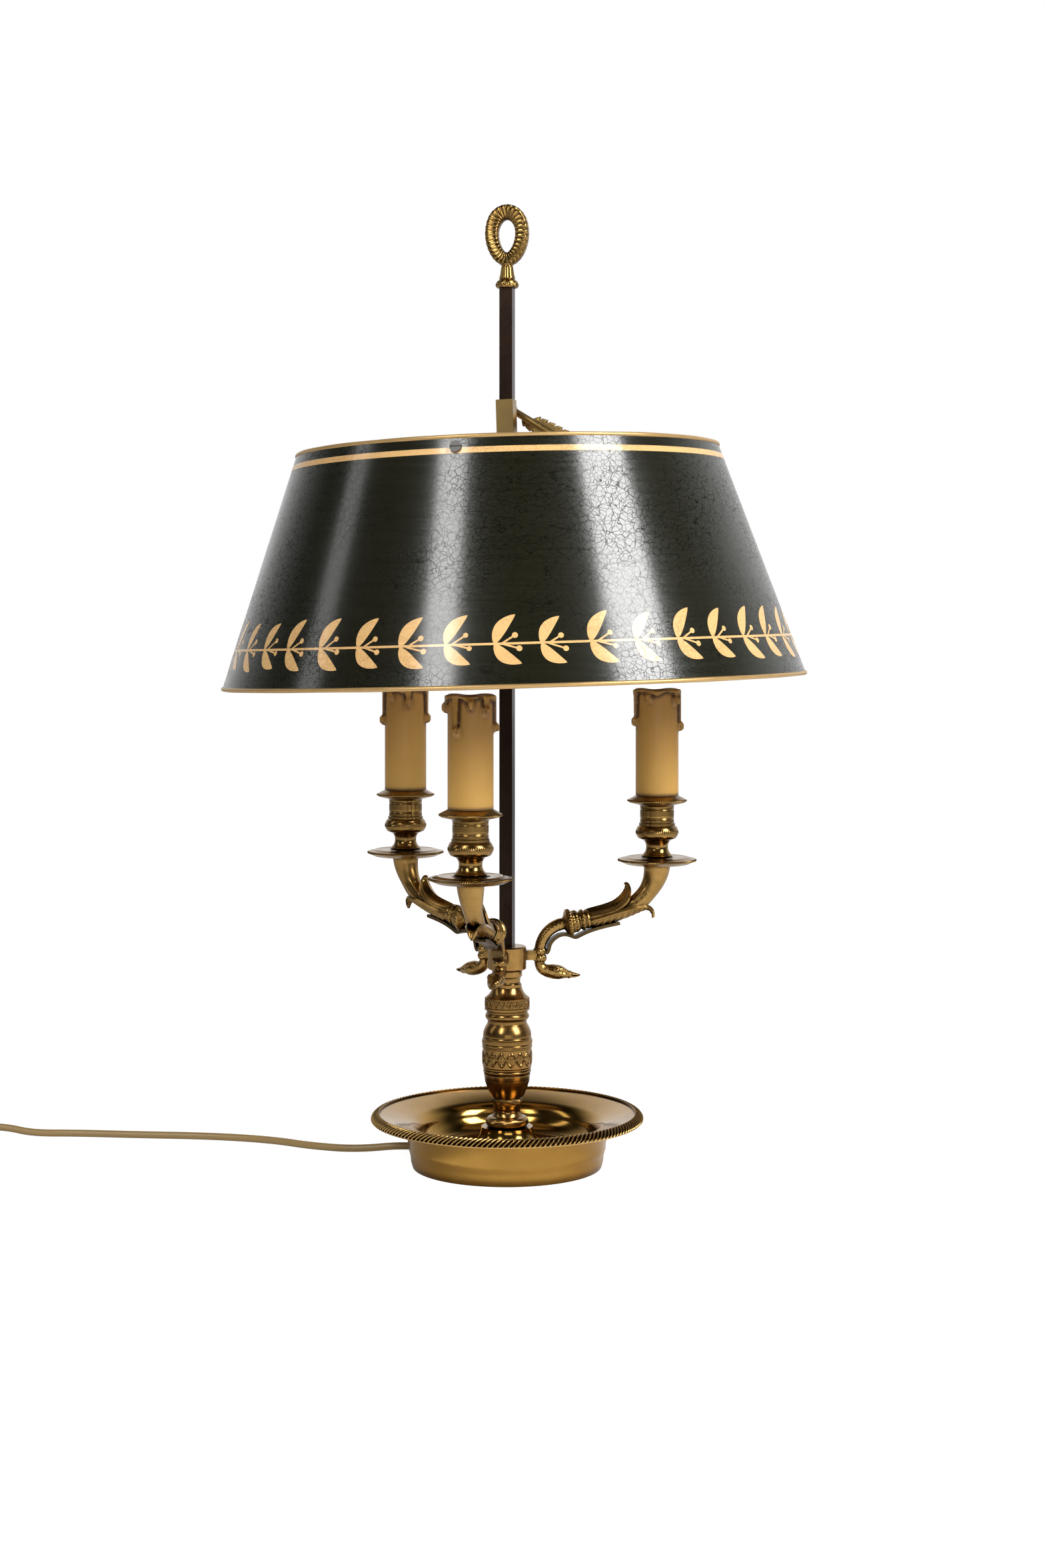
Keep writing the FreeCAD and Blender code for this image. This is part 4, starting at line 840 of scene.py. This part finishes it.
def makeCandle(side, centre):
    # Wax stands out by wax * step(z - edge), edge = top - skin - sum of length * exp(-(aside / half width)^4),
    # with a bulb at the end of each drip.
    c = candleSet
    height = (c["bottom"] + (c["top"] - c["bottom"]) * np.linspace(0, 1, 190))[:, None]
    turn = roundTurns(220)[None, :]
    edge = np.full_like(turn, c["top"] - c["skin"]) - 1.1 * np.cos(5 * turn + 1) - 0.5 * np.cos(9 * turn)
    bulbs = np.zeros((len(height), turn.shape[1]))
    for angle, length, width in c["drips"][side]:
        middle = bearingTurn(angle + cameraSet["turn"])
        aside = ((turn - middle + math.pi) % (2 * math.pi) - math.pi) * c["radius"]
        edge = edge - length * np.exp(-((aside / (width * 0.5)) ** 4))
        low = c["top"] - c["skin"] - length + 2.2
        bulbs += c["bulb"] * np.exp(-((aside / (width * 0.7)) ** 4) - ((height - low) / 2.7) ** 4)
    thick = c["wax"] * smoothStep(height - edge, -0.05, 0.6)
    rim = 0.8 * smoothStep(height, c["top"] - 1.6, c["top"] - 0.4) * np.cos(7 * turn + 0.6) * 0.5
    radius = c["radius"] + thick + bulbs + rim
    radius = np.where(height > c["top"] - 0.5, radius - 0.5, radius)
    inside = np.full((1, turn.shape[1]), c["bore"])
    radius = np.concatenate([inside, radius, inside])
    level = np.concatenate([height[:1], height, height[-1:]]) + 0 * turn
    ripple = 0.45 * np.cos(4 * turn + 2) * smoothStep(level, c["top"] - 2, c["top"])
    x, y = centre[0] + radius * np.cos(turn), centre[1] + radius * np.sin(turn)
    points = np.stack([x, y, level - 0.5 + ripple], axis=-1)
    points[0, :, 2] = points[1, :, 2] = c["bottom"]
    piece = makePiece("candle" + side.capitalize(), points, "amberWax", "stand", closeAlong=True)
    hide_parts("candle_" + side)


def makeCups():
    for side, bearing in cupSet["bearings"].items():
        turn = bearingTurn(bearing)
        centre = (cupSet["reach"] * math.cos(turn), cupSet["reach"] * math.sin(turn))
        pan = makeTurned("pan" + side.capitalize(), cupSet["pan"], "cupBrass", 0.5, 480, "drip_pan_" + side,
                         cupRelief, centre)
        cup = makeTurned("cup" + side.capitalize(), cupSet["cup"], "cupBrass", 0.4, 384, "candle_cup_" + side,
                         cupRelief, centre)
        makeCandle(side, centre)


# Swept pieces: rings of an oval section along a line in the arm's own plane, x outward and z up

armSet = {
    "level": 131.0,
    "neckReach": 20.8,
    "neckBase": 133.0,
    "bend": 17.2,
    "slope": 10.0,
    "head": [  # outward, up, half height, half width, from the ligature to the beak
        (20.8, 128.4, 3.2, 3.25), (20.7, 125.6, 3.15, 3.3), (22.0, 122.7, 3.4, 3.7), (25.2, 120.9, 3.9, 4.4),
        (29.2, 120.2, 4.5, 5.2), (33.6, 119.5, 4.3, 5.1), (37.2, 118.7, 3.0, 3.9), (39.6, 118.1, 2.3, 2.9),
        (42.4, 117.7, 1.7, 2.1), (44.9, 117.5, 1.1, 1.4), (46.6, 117.6, 0.45, 0.6),
    ],
    "eye": (31.0, 4.35, 121.6),
    "eyeRadius": 1.35,
    "lid": (4.55, 0.12, 1.7, 0.42),  # how far aside, tilt, radius, thickness
    "ligature": [(2.6, 126.6), (3.3, 126.8), (4.3, 128.9, 3.4, 131.0), (4.3, 133.1, 3.4, 135.2), (2.6, 135.4)],
    "ferrule": [  # along the stalk, radius
        (-0.4, 3.4), (1.6, 3.8), (3.4, 5.6), (4.9, 7.9), (5.9, 8.35), (7.0, 8.2), (7.6, 7.0), (8.4, 6.7),
        (10.6, 6.9), (11.6, 6.3), (12.4, 5.5), (13.2, 6.3), (14.6, 6.5), (15.3, 5.6), (16.2, 6.1), (17.2, 5.7),
    ],
    "upperLeaf": [  # outward, up, half width, hollow
        (50.5, 158.6, 4.0, 5.2), (56.0, 159.9, 5.0, 5.6), (62.0, 161.4, 5.6, 5.6), (68.0, 163.6, 5.9, 5.4),
        (72.6, 167.0, 5.6, 4.6), (75.2, 170.6, 4.2, 3.0), (76.0, 173.2, 2.4, 1.4), (75.0, 174.8, 0.6, 0.2),
    ],
    "lowerLeaf": [
        (50.5, 147.0, 4.0, 4.6), (57.0, 147.6, 5.6, 5.8), (64.0, 149.2, 6.2, 6.2), (71.0, 151.2, 6.4, 6.2),
        (78.0, 153.6, 6.4, 5.6), (84.0, 156.0, 6.2, 4.4), (88.6, 157.6, 5.0, 2.8), (91.6, 156.8, 3.2, 1.4),
        (93.2, 154.2, 1.6, 0.5), (93.3, 152.4, 0.5, 0.1),
    ],
    "leafThickness": 1.0,
    "leafBend": 1.35,  # how far round a leaf curls, in radians
    "horn": [  # outward, up, half height, half width, from the calyx to the pan
        (66.0, 156.4, 4.4, 4.2), (73.0, 157.8, 4.7, 4.5), (80.0, 160.2, 5.0, 4.9), (85.6, 164.2, 5.3, 5.2),
        (90.0, 169.0, 5.9, 5.8), (93.6, 175.0, 6.9, 6.8), (95.6, 180.6, 7.8, 7.7), (96.3, 185.6, 8.4, 8.35),
        (96.3, 186.0, 8.4, 8.35),
    ],
    "lug": (10.5, 18.5, 3.1),  # from, to, half its side
}


def sweepRings(path, tall, wide, around, relief=0.0):
    # Each ring stands square to the path: (tall + relief) * sin(a) in the arm's plane, (wide + relief) * cos(a)
    # across it.
    side = pathFrame(path)
    angle = roundTurns(around)[None, :]
    inPlane = (np.reshape(tall, (-1, 1)) + relief) * np.sin(angle)
    across = (np.reshape(wide, (-1, 1)) + relief) * np.cos(angle) + 0 * path[:, :1]
    return np.stack([path[:, :1] + inPlane * side[:, :1], across, path[:, 1:] + inPlane * side[:, 1:]], axis=-1)


def closeEnds(points):
    # The first and last ring each get a pole at their middle.
    ends = (points[:1], points[-1:])
    first, last = (np.broadcast_to(ring.mean(axis=1, keepdims=True), ring.shape) for ring in ends)
    return np.concatenate([first, points, last])


def smoothLine(stops, count):
    # A Catmull-Rom line through the stops, which may carry more columns than two.
    stops = np.asarray(stops, float)
    padded = np.concatenate([2 * stops[:1] - stops[1:2], stops, 2 * stops[-1:] - stops[-2:-1]])
    place = np.linspace(0, len(stops) - 1, count)
    index = np.minimum(place.astype(int), len(stops) - 2)
    t = (place - index)[:, None]
    a, b, c, d = (padded[index + shift] for shift in range(4))
    return 0.5 * (2 * b + (c - a) * t + (2 * a - 5 * b + 4 * c - d) * t**2 + (3 * b - a - 3 * c + d) * t**3)


def setOut(points, bearing):
    # Carries a piece from the arm's own axes, x outward and y across, to its bearing on the lamp.
    turn = bearingTurn(bearing)
    x, y, z = (points[..., axis] for axis in range(3))
    away, aside = x * math.cos(turn) - y * math.sin(turn), x * math.sin(turn) + y * math.cos(turn)
    return np.stack([away, aside, z], axis=-1)


def stalkPath(first, last, count):
    # A straight run at the arm's slope, from where the neck's bend ends.
    slope = math.radians(armSet["slope"])
    start = np.array([armSet["neckReach"] + armSet["bend"] * (1 - math.sin(slope)),
                      armSet["neckBase"] + armSet["bend"] * math.cos(slope)])
    share = np.linspace(first, last, count)[:, None]
    return start + share * np.array([math.cos(slope), math.sin(slope)])


def neckPoints():
    # A short upright, then an arc of the bend's radius, with feather rows: depth * |cos(4 a)| * |sin(row)|.
    turns = np.linspace(0, math.radians(80), 60)
    centre = np.array([armSet["neckReach"] + armSet["bend"], armSet["neckBase"]])
    bend = centre + armSet["bend"] * np.stack([-np.cos(turns), np.sin(turns)], axis=-1)
    low = np.linspace(-4.5, 0, 8)[:-1]
    upright = np.stack([np.full(7, armSet["neckReach"]), armSet["neckBase"] + low], axis=-1)
    path = np.concatenate([upright, bend])
    rows = np.arange(len(path))[:, None]
    angle = roundTurns(48)[None, :]
    feather = 0.14 * np.abs(np.cos(4 * angle + 0.5 * (rows // 3 % 2) * math.pi))
    feather = feather * np.abs(np.sin(rows * math.pi / 3.01))
    swell = 0.35 + 0.55 * smoothStep(rows, 20, 66)
    return closeEnds(sweepRings(path, 3.2, 3.25, 48, feather + 0.6 * swell))


def headPoints():
    # Rings through the head's stops; the beak's slit and eye socket are ridges of sin(a) cut inwards, the brow
    # and the cere ridges raised, and the feathers fine cosines that fade before the beak.
    line = smoothLine(armSet["head"], 96)
    rows = np.linspace(0, 1, 96)[:, None]
    angle = roundTurns(64)[None, :]
    lift = np.sin(angle)
    slit = -1.3 * strand(lift, 0, 0.17) * smoothStep(rows, 0.70, 0.80)
    brow = 0.55 * strand(lift, 0.62, 0.2) * window(rows, 0.42, 0.62, 0.08)
    socket = -0.75 * np.exp(-(((rows - 0.53) / 0.055) ** 2) - ((lift - 0.24) / 0.30) ** 2)
    feather = 0.13 * np.cos(12 * angle + 2.5 * np.sin(rows * 60)) * np.sin(rows * 95)
    feather = feather * (1 - smoothStep(rows, 0.5, 0.7))
    cere = 0.35 * strand(rows, 0.705, 0.02)
    return closeEnds(sweepRings(line[:, :2], line[:, 2], line[:, 3], 64, slit + brow + socket + feather + cere))


def ballPoints(centre, radius):
    # A ball: flat = radius * sin(polar) carried round the centre, at height radius * cos(polar).
    polar = np.linspace(0, math.pi, 13)[:, None]
    turn = roundTurns(20)[None, :]
    flat = radius * np.sin(polar)
    return np.stack([centre[0] + flat * np.cos(turn), centre[1] + flat * np.sin(turn),
                     centre[2] + radius * np.cos(polar) + 0 * turn], axis=-1)


def lidPoints(hand):
    # A small torus facing sideways round an eye: reach = radius + thickness * cos(around), leaning inwards.
    aside, tilt, radius, thickness = armSet["lid"]
    turn = roundTurns(28)[:, None]
    around = roundTurns(10)[None, :]
    reach = radius + thickness * np.cos(around)
    across = hand * aside + thickness * np.sin(around) - hand * tilt * reach * np.sin(turn)
    outward, up = armSet["eye"][0] + reach * np.cos(turn), armSet["eye"][2] + reach * np.sin(turn)
    return np.stack([outward, across, up], axis=-1)


def ligaturePoints():
    # Two bound bands of cord round the joint, each a half round with slanting plies: cos(14 turn + 1.4 z).
    bands = spin(walkOutline(armSet["ligature"], 0.3), 72,
                 lambda turn, height, radius: 0.14 * np.cos(14 * turn + 1.4 * height) * (radius > 3.3))
    return closeEnds(bands + np.array([armSet["neckReach"], 0, 0]))


def ferrulePoints():
    # Rings through the ferrule's stops; flutes = depth * (|cos(9 a)| - 0.6) on the cup, cosines on its edges.
    line = smoothLine(armSet["ferrule"], 100)
    angle = roundTurns(90)[None, :]
    flute = 0.42 * (np.abs(np.cos(9 * angle)) - 0.6) * window(line[:, :1], 7.9, 11.2, 0.5)
    milled = 0.16 * np.cos(30 * angle) * window(line[:, :1], 5.0, 7.0, 0.3)
    rounds = 0.15 * np.cos(20 * angle) * window(line[:, :1], 13.0, 14.6, 0.3)
    path = stalkPath(-0.4, 17.2, 100)
    return closeEnds(sweepRings(path, line[:, 1], line[:, 1], 90, flute + milled + rounds))


def leafPoints(stops, over, relief):
    # A curved leaf: along t the midline runs through the stops (x, z, half width, hollow), across u it bends
    # round as (width * sin(u), hollow * (1 - cos(u))), with a face and a back this thick.
    line = smoothLine(stops, 90)
    normal = over * pathFrame(line[:, :2])
    u = np.linspace(-1, 1, 45)[None, :]
    curl = armSet["leafBend"]
    bend = u * curl
    rise = relief(np.linspace(0, 1, 90)[:, None], u)
    faces = []
    for lift in (rise, np.full_like(rise, -armSet["leafThickness"])):
        depth = line[:, 3:4] * (1 - np.cos(bend)) / (1 - math.cos(curl)) - lift
        across = (line[:, 2:3] + lift * 0.6) * np.sin(bend) / math.sin(curl)
        faces.append(np.stack([line[:, :1] - depth * normal[:, :1], across,
                               line[:, 1:2] - depth * normal[:, 1:]], axis=-1))
    return closeEnds(np.concatenate([faces[0], faces[1][:, ::-1]], axis=1))


def upperRelief(t, u):
    # A raised rib and edge with three long grooves between: cosines of the distance across.
    rib = 0.5 * strand(u, 0, 0.1) + 0.35 * smoothStep(np.abs(u), 0.82, 0.92)
    return rib + 0.12 * np.cos(3 * math.pi * u) * window(t, 0.1, 0.8, 0.1)


def lowerRelief(t, u):
    # Herringbone barbs: cos of distance along less a slant of the distance across, within a raised edge.
    barbs = 0.42 * np.cos(2 * math.pi * (15 * t - 1.5 * np.abs(u))) * window(np.abs(u), 0.16, 0.84, 0.05)
    edge = 0.5 * smoothStep(np.abs(u), 0.86, 0.93)
    return barbs * window(t, 0.1, 0.84, 0.05) + edge + 0.3 * strand(u, 0, 0.08)


def hornPoints():
    # A bent trumpet through the horn's stops, with petals at its root: |cos(4 a)|^0.6, cut to tips along t.
    line = smoothLine(armSet["horn"], 110)
    angle = roundTurns(72)[None, :]
    t = np.linspace(0, 1, 110)[:, None]
    petals = 0.55 * np.abs(np.cos(4 * angle)) ** 0.6 * (1 - smoothStep(t, 0.36, 0.5 + 0.08 * np.cos(8 * angle)))
    petals = petals * smoothStep(t, 0.2, 0.3)
    return closeEnds(sweepRings(line[:, :2], line[:, 2], line[:, 3], 72, petals))


def lugPoints():
    # The square lug between hub and ligature: half side / max(|cos a|, |sin a|)^0.86 eases its arrises.
    first, last, half = armSet["lug"]
    path = np.stack([np.linspace(first, last, 5), np.full(5, armSet["level"])], axis=-1)
    angle = roundTurns(32)[None, :] + np.zeros((5, 1))
    squareness = half / np.maximum(np.abs(np.cos(angle)), np.abs(np.sin(angle))) ** 0.86
    return closeEnds(sweepRings(path, 0, 0, 32, squareness))


def makeArms():
    # One casting, worked out once and set out at each arm's bearing.
    x, aside, z = armSet["eye"]
    shapes = {
        "armNeck": neckPoints(),
        "armHead": headPoints(),
        "armLigature": ligaturePoints(),
        "armFerrule": ferrulePoints(),
        "armStalk": closeEnds(sweepRings(stalkPath(14.0, 34.0, 30), 4.6, 4.2, 36)),
        "armUpperLeaf": leafPoints(armSet["upperLeaf"], 1, upperRelief),
        "armLowerLeaf": leafPoints(armSet["lowerLeaf"], -1, lowerRelief),
        "armHorn": hornPoints(),
        "armEyeNear": ballPoints((x, aside, z), armSet["eyeRadius"]),
        "armEyeFar": ballPoints((x, -aside, z), armSet["eyeRadius"]),
        "armLidNear": lidPoints(1),
        "armLidFar": lidPoints(-1),
        "armLug": lugPoints(),
    }
    for side, bearing in cupSet["bearings"].items():
        for name, points in shapes.items():
            closed = name.startswith("armLid")
            title = name + side.capitalize()
            piece = makePiece(title, setOut(points, bearing), "armBrass", "stand", closeAlong=closed)
            if name == "armNeck":
                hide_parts("arm_" + side)
            if name == "armHorn":
                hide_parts("horn_" + side)


finialSet = {
    "middle": 580.9,
    "halfWidth": 9.6,
    "halfHeight": 14.7,
    "egg": 0.1,
    "bandSide": 4.3,
    "bandTop": 4.9,
    "depth": 4.4,
    "leaves": 30,
    "squareness": 0.72,  # under one, the section is a rounded oblong
    "knob": (565.8, 3.3),  # height, radius
    "stalk": [
        (0.0, 548.3), (6.4, 548.3), (7.1, 549.2), (7.1, 550.8), (6.5, 552.2), (5.4, 553.0), (4.9, 553.6),
        (3.9, 558.0, 3.5, 562.0), (4.4, 563.2), (0.0, 564.4),
    ],
}


def softPower(value, power):
    return np.sign(value) * np.abs(value) ** power


def makeFinial():
    # An egg-shaped ring: centre line (halfWidth * sin a * (1 + egg * cos a), halfHeight * cos a), a rounded
    # oblong section, and bay leaves that overlap like shingles on its front and flanks.
    c = finialSet
    along = roundTurns(420)[:, None]
    around = roundTurns(56)[None, :]
    band = c["bandSide"] + (c["bandTop"] - c["bandSide"]) * smoothStep(np.cos(along), 0.2, 1.0)
    phase = (along * c["leaves"] / (2 * math.pi) + 0.8 * np.abs(np.sin(around))) % 1.0
    shingle = (1 - phase) ** 0.7 * (1 - 0.5 * np.abs(np.cos(2 * around)))
    front = 1 - smoothStep(np.sin(around), 0.55, 0.8)
    relief = 0.85 * (shingle + 0.35 * strand(phase, 0.5, 0.12) - 0.6) * front
    inward = softPower(np.cos(around), c["squareness"]) * (band + 0.6 * relief)
    depth = softPower(np.sin(around), c["squareness"]) * (c["depth"] + 0.8 * relief)
    x = c["halfWidth"] * np.sin(along) * (1 + c["egg"] * np.cos(along))
    z = c["middle"] + c["halfHeight"] * np.cos(along)
    tangent = np.stack([np.gradient(x[:, 0]), np.gradient(z[:, 0])], axis=-1)
    tangent[0], tangent[-1] = tangent[1], tangent[-2]
    tangent /= np.linalg.norm(tangent, axis=1, keepdims=True)
    points = np.stack([x - inward * tangent[:, 1:], depth, z + inward * tangent[:, :1]], axis=-1)
    ring = makePiece("finialRing", points, "finialBrass", "stand", closeAlong=True)
    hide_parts("finial")
    stalk = makeTurned("finialStalk", c["stalk"], "finialBrass", 0.35, 120, relief=stalkRelief)
    knob = makePiece("finialKnob", ballPoints((0, 0, c["knob"][0]), c["knob"][1]), "finialBrass", "stand")


def stalkRelief(turn, height, radius):
    # Petals = |cos(4 turn)| on the neck, a milled edge on the foot.
    petals = 0.35 * np.abs(np.cos(4 * turn)) * window(height, 554.2, 561.0, 0.8)
    return (petals + 0.16 * np.cos(24 * turn) * window(height, 549.4, 550.6, 0.3)) * (radius > 2)


keySet = {
    "pivot": (0.0, 473.7),
    "plane": 16.9,
    "turn": -33.0,
    "shaft": 2.1,
    "vaneStart": 11.0,
    "vaneEnd": 42.0,
    "vaneHalf": 7.6,
    "vaneSweep": 3.4,
    "lobes": 6,
}


def shaftPoints():
    # A rod that tapers by a quarter: radius = shaft * (1 - 0.25 t).
    around = roundTurns(96)[None, :]
    along = np.linspace(0, 1, 60)[:, None]
    radius = keySet["shaft"] * (1 - 0.25 * along) + 0 * around
    return along * (keySet["vaneEnd"] - 2.5) + 0 * around, radius * np.cos(around), radius * np.sin(around)


def vanePoints():
    # A thin blade: half width = vaneHalf * (0.6 + 0.4 t^0.6) * (1 - 0.24 notch - 0.1 (1 - saw(lobes t))), run
    # out at both ends, swept along by its side, and ribbed by slanting barbs.
    c = keySet
    around = roundTurns(96)[None, :]
    along = np.linspace(0, 1, 220)[:, None]
    saw = (c["lobes"] * along) % 1.0
    lobe = 1 - 0.24 * strand(saw, 0, 0.16) - 0.10 * (1 - saw)
    ends = smoothStep(along, 0.0, 0.16) ** 0.6 * (1 - 0.55 * smoothStep(along, 0.93, 1.0))
    half = c["vaneHalf"] * (0.6 + 0.4 * along**0.6) * lobe * ends
    side = np.cos(around)
    lengthwise = c["vaneStart"] + along * (c["vaneEnd"] - c["vaneStart"]) + c["vaneSweep"] * side - 0.8
    barbs = 0.16 * np.cos(2 * math.pi * 26 * along + 5.0 * np.abs(side))
    return lengthwise, half * side, softPower(np.sin(around), 0.5) * (0.75 + barbs)


def makeKey():
    # Both pieces are turned about the pivot in the plane in front of the sleeve.
    turn = math.radians(keySet["turn"])
    for name, shape in (("arrowShaft", shaftPoints()), ("arrowVane", vanePoints())):
        lengthwise, across, deep = shape
        x = keySet["pivot"][0] + lengthwise * math.cos(turn) - across * math.sin(turn)
        z = keySet["pivot"][1] + lengthwise * math.sin(turn) + across * math.cos(turn)
        points = closeEnds(np.stack([x, keySet["plane"] + deep, z], axis=-1))
        piece = makePiece(name, rockShade(points), "keyBrass", "key")


makeKey()
makeDish()
makeStem()
makeCups()
makeArms()
makeFinial()
print("castings and candles made")

# Finishes of the pieces that keep their solids: a node takes the finish of the longest of these that starts it

solidSet = {
    "rodBronze": ["square_rod"],
    "sleeveBrass": ["sleeve", "clamp_boss", "spider_arm"],
    "keyBrass": ["arrow_key"],
    "screwPaint": ["shade_screws"],
    "armBrass": ["arm_", "horn"],
    "stemBrass": ["arm_hub", "stem_"],
    "zincSteel": ["arm_screws", "base_plate", "base_nut", "base_washer", "stem_tube", "cup_nipples"],
    "coverBrass": ["wire_cover"],
    "cupBrass": ["drip_pan", "candle_cup"],
    "amberWax": ["candle_front", "candle_left", "candle_right"],
    "holderMoulding": ["lampholder"],
    "contactBrass": ["screw_shell", "holder_contacts", "plug_pins"],
    "brownMoulding": ["plug_body", "switch", "cord_bush"],
    "rockerMoulding": ["switch_rocker"],
    "greenFelt": ["felt_pad"],
    "dishBrass": ["base_dish"],
    "finialBrass": ["finial"],
}


def dressSolids():
    starts = {start: finish for finish, group in solidSet.items() for start in group}
    for name, solid in nodes.items():
        fitting = [start for start in starts if name.startswith(start)]
        if fitting:
            solid.data.materials.clear()
            solid.data.materials.append(finishes[starts[max(fitting, key=len)]])


dressSolids()
print("solids dressed")

# The cord: one lead from the foot to the switch, one from the switch through its coil to the plug

cordSet = {
    "radius": 2.35,
    "exitAngle": 165.5,
    "exitHeight": 5.6,
    "skirt": 59.0,
    "onTable": [(-101.8, 12.0), (-134.0, 15.7), (-157.0, 24.8), (-184.6, 28.6), (-216.2, 27.9), (-254.0, 22.6),
                (-296.0, 18.6)],
    "rise": (-323.0, 9.6, 0.6),  # where it starts up to the switch, and how far it is off the table there
    "switchAngle": 190.8,
    "switchEntry": (-352.0, 4.0),
    "switchLength": 53.0,
    "switchHeight": 7.0,
    "gap": 0.45,
    "innerRadius": 22.0,
    "layers": 4,
    "turnsALayer": 2,
    "lastShare": 0.22,
    "plugDrop": 62.0,
    "plugHeight": 6.85,
}


def levelWay(turn):
    return np.array([math.cos(turn), math.sin(turn), 0])


def coilPoints(start, way, phase):
    # Turns round a centre beside the lead: radius = outer - pitch * turns within a layer, in and out by turns,
    # and each reversal climbs one pitch as s * s * (3 - 2 s).
    c = cordSet
    pitch = 2 * c["radius"] + c["gap"]
    outerRadius = c["innerRadius"] + c["turnsALayer"] * pitch
    centre = start - levelWay(phase) * outerRadius
    centre = centre + way * 2 * c["radius"]
    total = c["layers"] * c["turnsALayer"] + c["lastShare"]
    turns = np.linspace(0, total, round(total * 24) + 1)
    layer = np.minimum((turns / c["turnsALayer"]).astype(int), c["layers"] - 1)
    share = turns / c["turnsALayer"] - layer
    inward = np.where(layer % 2 == 0, share, 1 - share)
    radius = outerRadius - inward * c["turnsALayer"] * pitch
    height = np.full(len(turns), c["radius"])
    for reversal in range(1, c["layers"]):
        climb = np.clip((turns - reversal * c["turnsALayer"]) * 2 + 0.5, 0, 1)
        height += pitch * climb**2 * (3 - 2 * climb)
    angle = phase + 2 * math.pi * turns
    return np.stack([centre[0] + radius * np.cos(angle), centre[1] + radius * np.sin(angle), height], axis=-1)


def makeCords():
    c = cordSet
    exitWay = levelWay(math.radians(c["exitAngle"]))
    switchTurn = math.radians(c["switchAngle"])
    switchWay = levelWay(switchTurn)
    entry = np.array([*c["switchEntry"], c["switchHeight"]])
    lift = np.array([0, 0, c["exitHeight"]])
    firstRoute = [exitWay * (c["skirt"] - 5) + lift, exitWay * (c["skirt"] + 13) + lift]
    firstRoute += [np.array([x, y, c["radius"]]) for x, y in c["onTable"]]
    firstRoute += [np.array([*c["rise"][:2], c["radius"] + c["rise"][2]]), entry - switchWay * 12, entry]
    leave = entry + switchWay * c["switchLength"]
    drop = np.array([0, 0, c["radius"] - c["switchHeight"]])
    lead = [leave, leave + switchWay * 12, leave + switchWay * 28 + drop, leave + switchWay * 42 + drop]
    coil = coilPoints(lead[-1], switchWay, switchTurn - math.pi / 2)
    endWay = (coil[-1] - coil[-2]) / np.linalg.norm(coil[-1] - coil[-2])
    coilEnd = coil[-1] + endWay * 2 * c["radius"]
    plugTop = np.array([coilEnd[0], coilEnd[1] - c["plugDrop"], c["plugHeight"]])
    middle = np.array([coilEnd[0] - 0.8, coilEnd[1] - 30, (coilEnd[2] + c["plugHeight"]) / 2])
    tail = [coilEnd, coilEnd + endWay * 12, middle, plugTop + np.array([0, 13, 0]), plugTop]
    secondRoute = lead[:3] + [lead[3] - switchWay * 4] + list(coil) + tail
    first = makeCord("leadToSwitch", firstRoute)
    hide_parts("cord")
    cordLength(first)
    second = makeCord("leadToPlug", secondRoute)
    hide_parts("cord_lead", "cord_coil", "cord_tail")
    cordLength(second)


def makeCord(name, route):
    # A round tube along one NURBS line whose control points are the route.
    curve = bpy.data.curves.new(name, "CURVE")
    curve.dimensions = "3D"
    curve.bevel_depth = cordSet["radius"] * mm
    curve.bevel_resolution = 6
    curve.use_fill_caps = True
    spline = curve.splines.new("NURBS")
    spline.points.add(len(route) - 1)
    places = np.concatenate([np.array(route) * mm, np.ones((len(route), 1))], axis=1)
    spline.points.foreach_set("co", places.astype(np.float32).ravel())
    spline.order_u = 3
    spline.use_endpoint_u = True
    spline.resolution_u = 6
    curve.materials.append(finishes["jacketMoulding"])
    piece = putObject(name, curve)
    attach(piece, "stand")
    return piece


def cordLength(piece):
    # The sum of the steps along the bare line.
    bare = piece.data.copy()
    bare.bevel_depth = 0
    ghost = putObject("ghost", bare)
    bpy.context.view_layer.update()
    line = bpy.data.meshes.new_from_object(ghost)
    places = np.zeros(len(line.vertices) * 3)
    line.vertices.foreach_get("co", places)
    length = float(np.linalg.norm(np.diff(places.reshape(-1, 3), axis=0), axis=1).sum())
    bpy.data.objects.remove(ghost)
    bpy.data.meshes.remove(line)
    bpy.data.curves.remove(bare)
    print(piece.name, "is", round(length, 4), "m long")
    return round(length, 3)


makeCords()
print("cords laid")
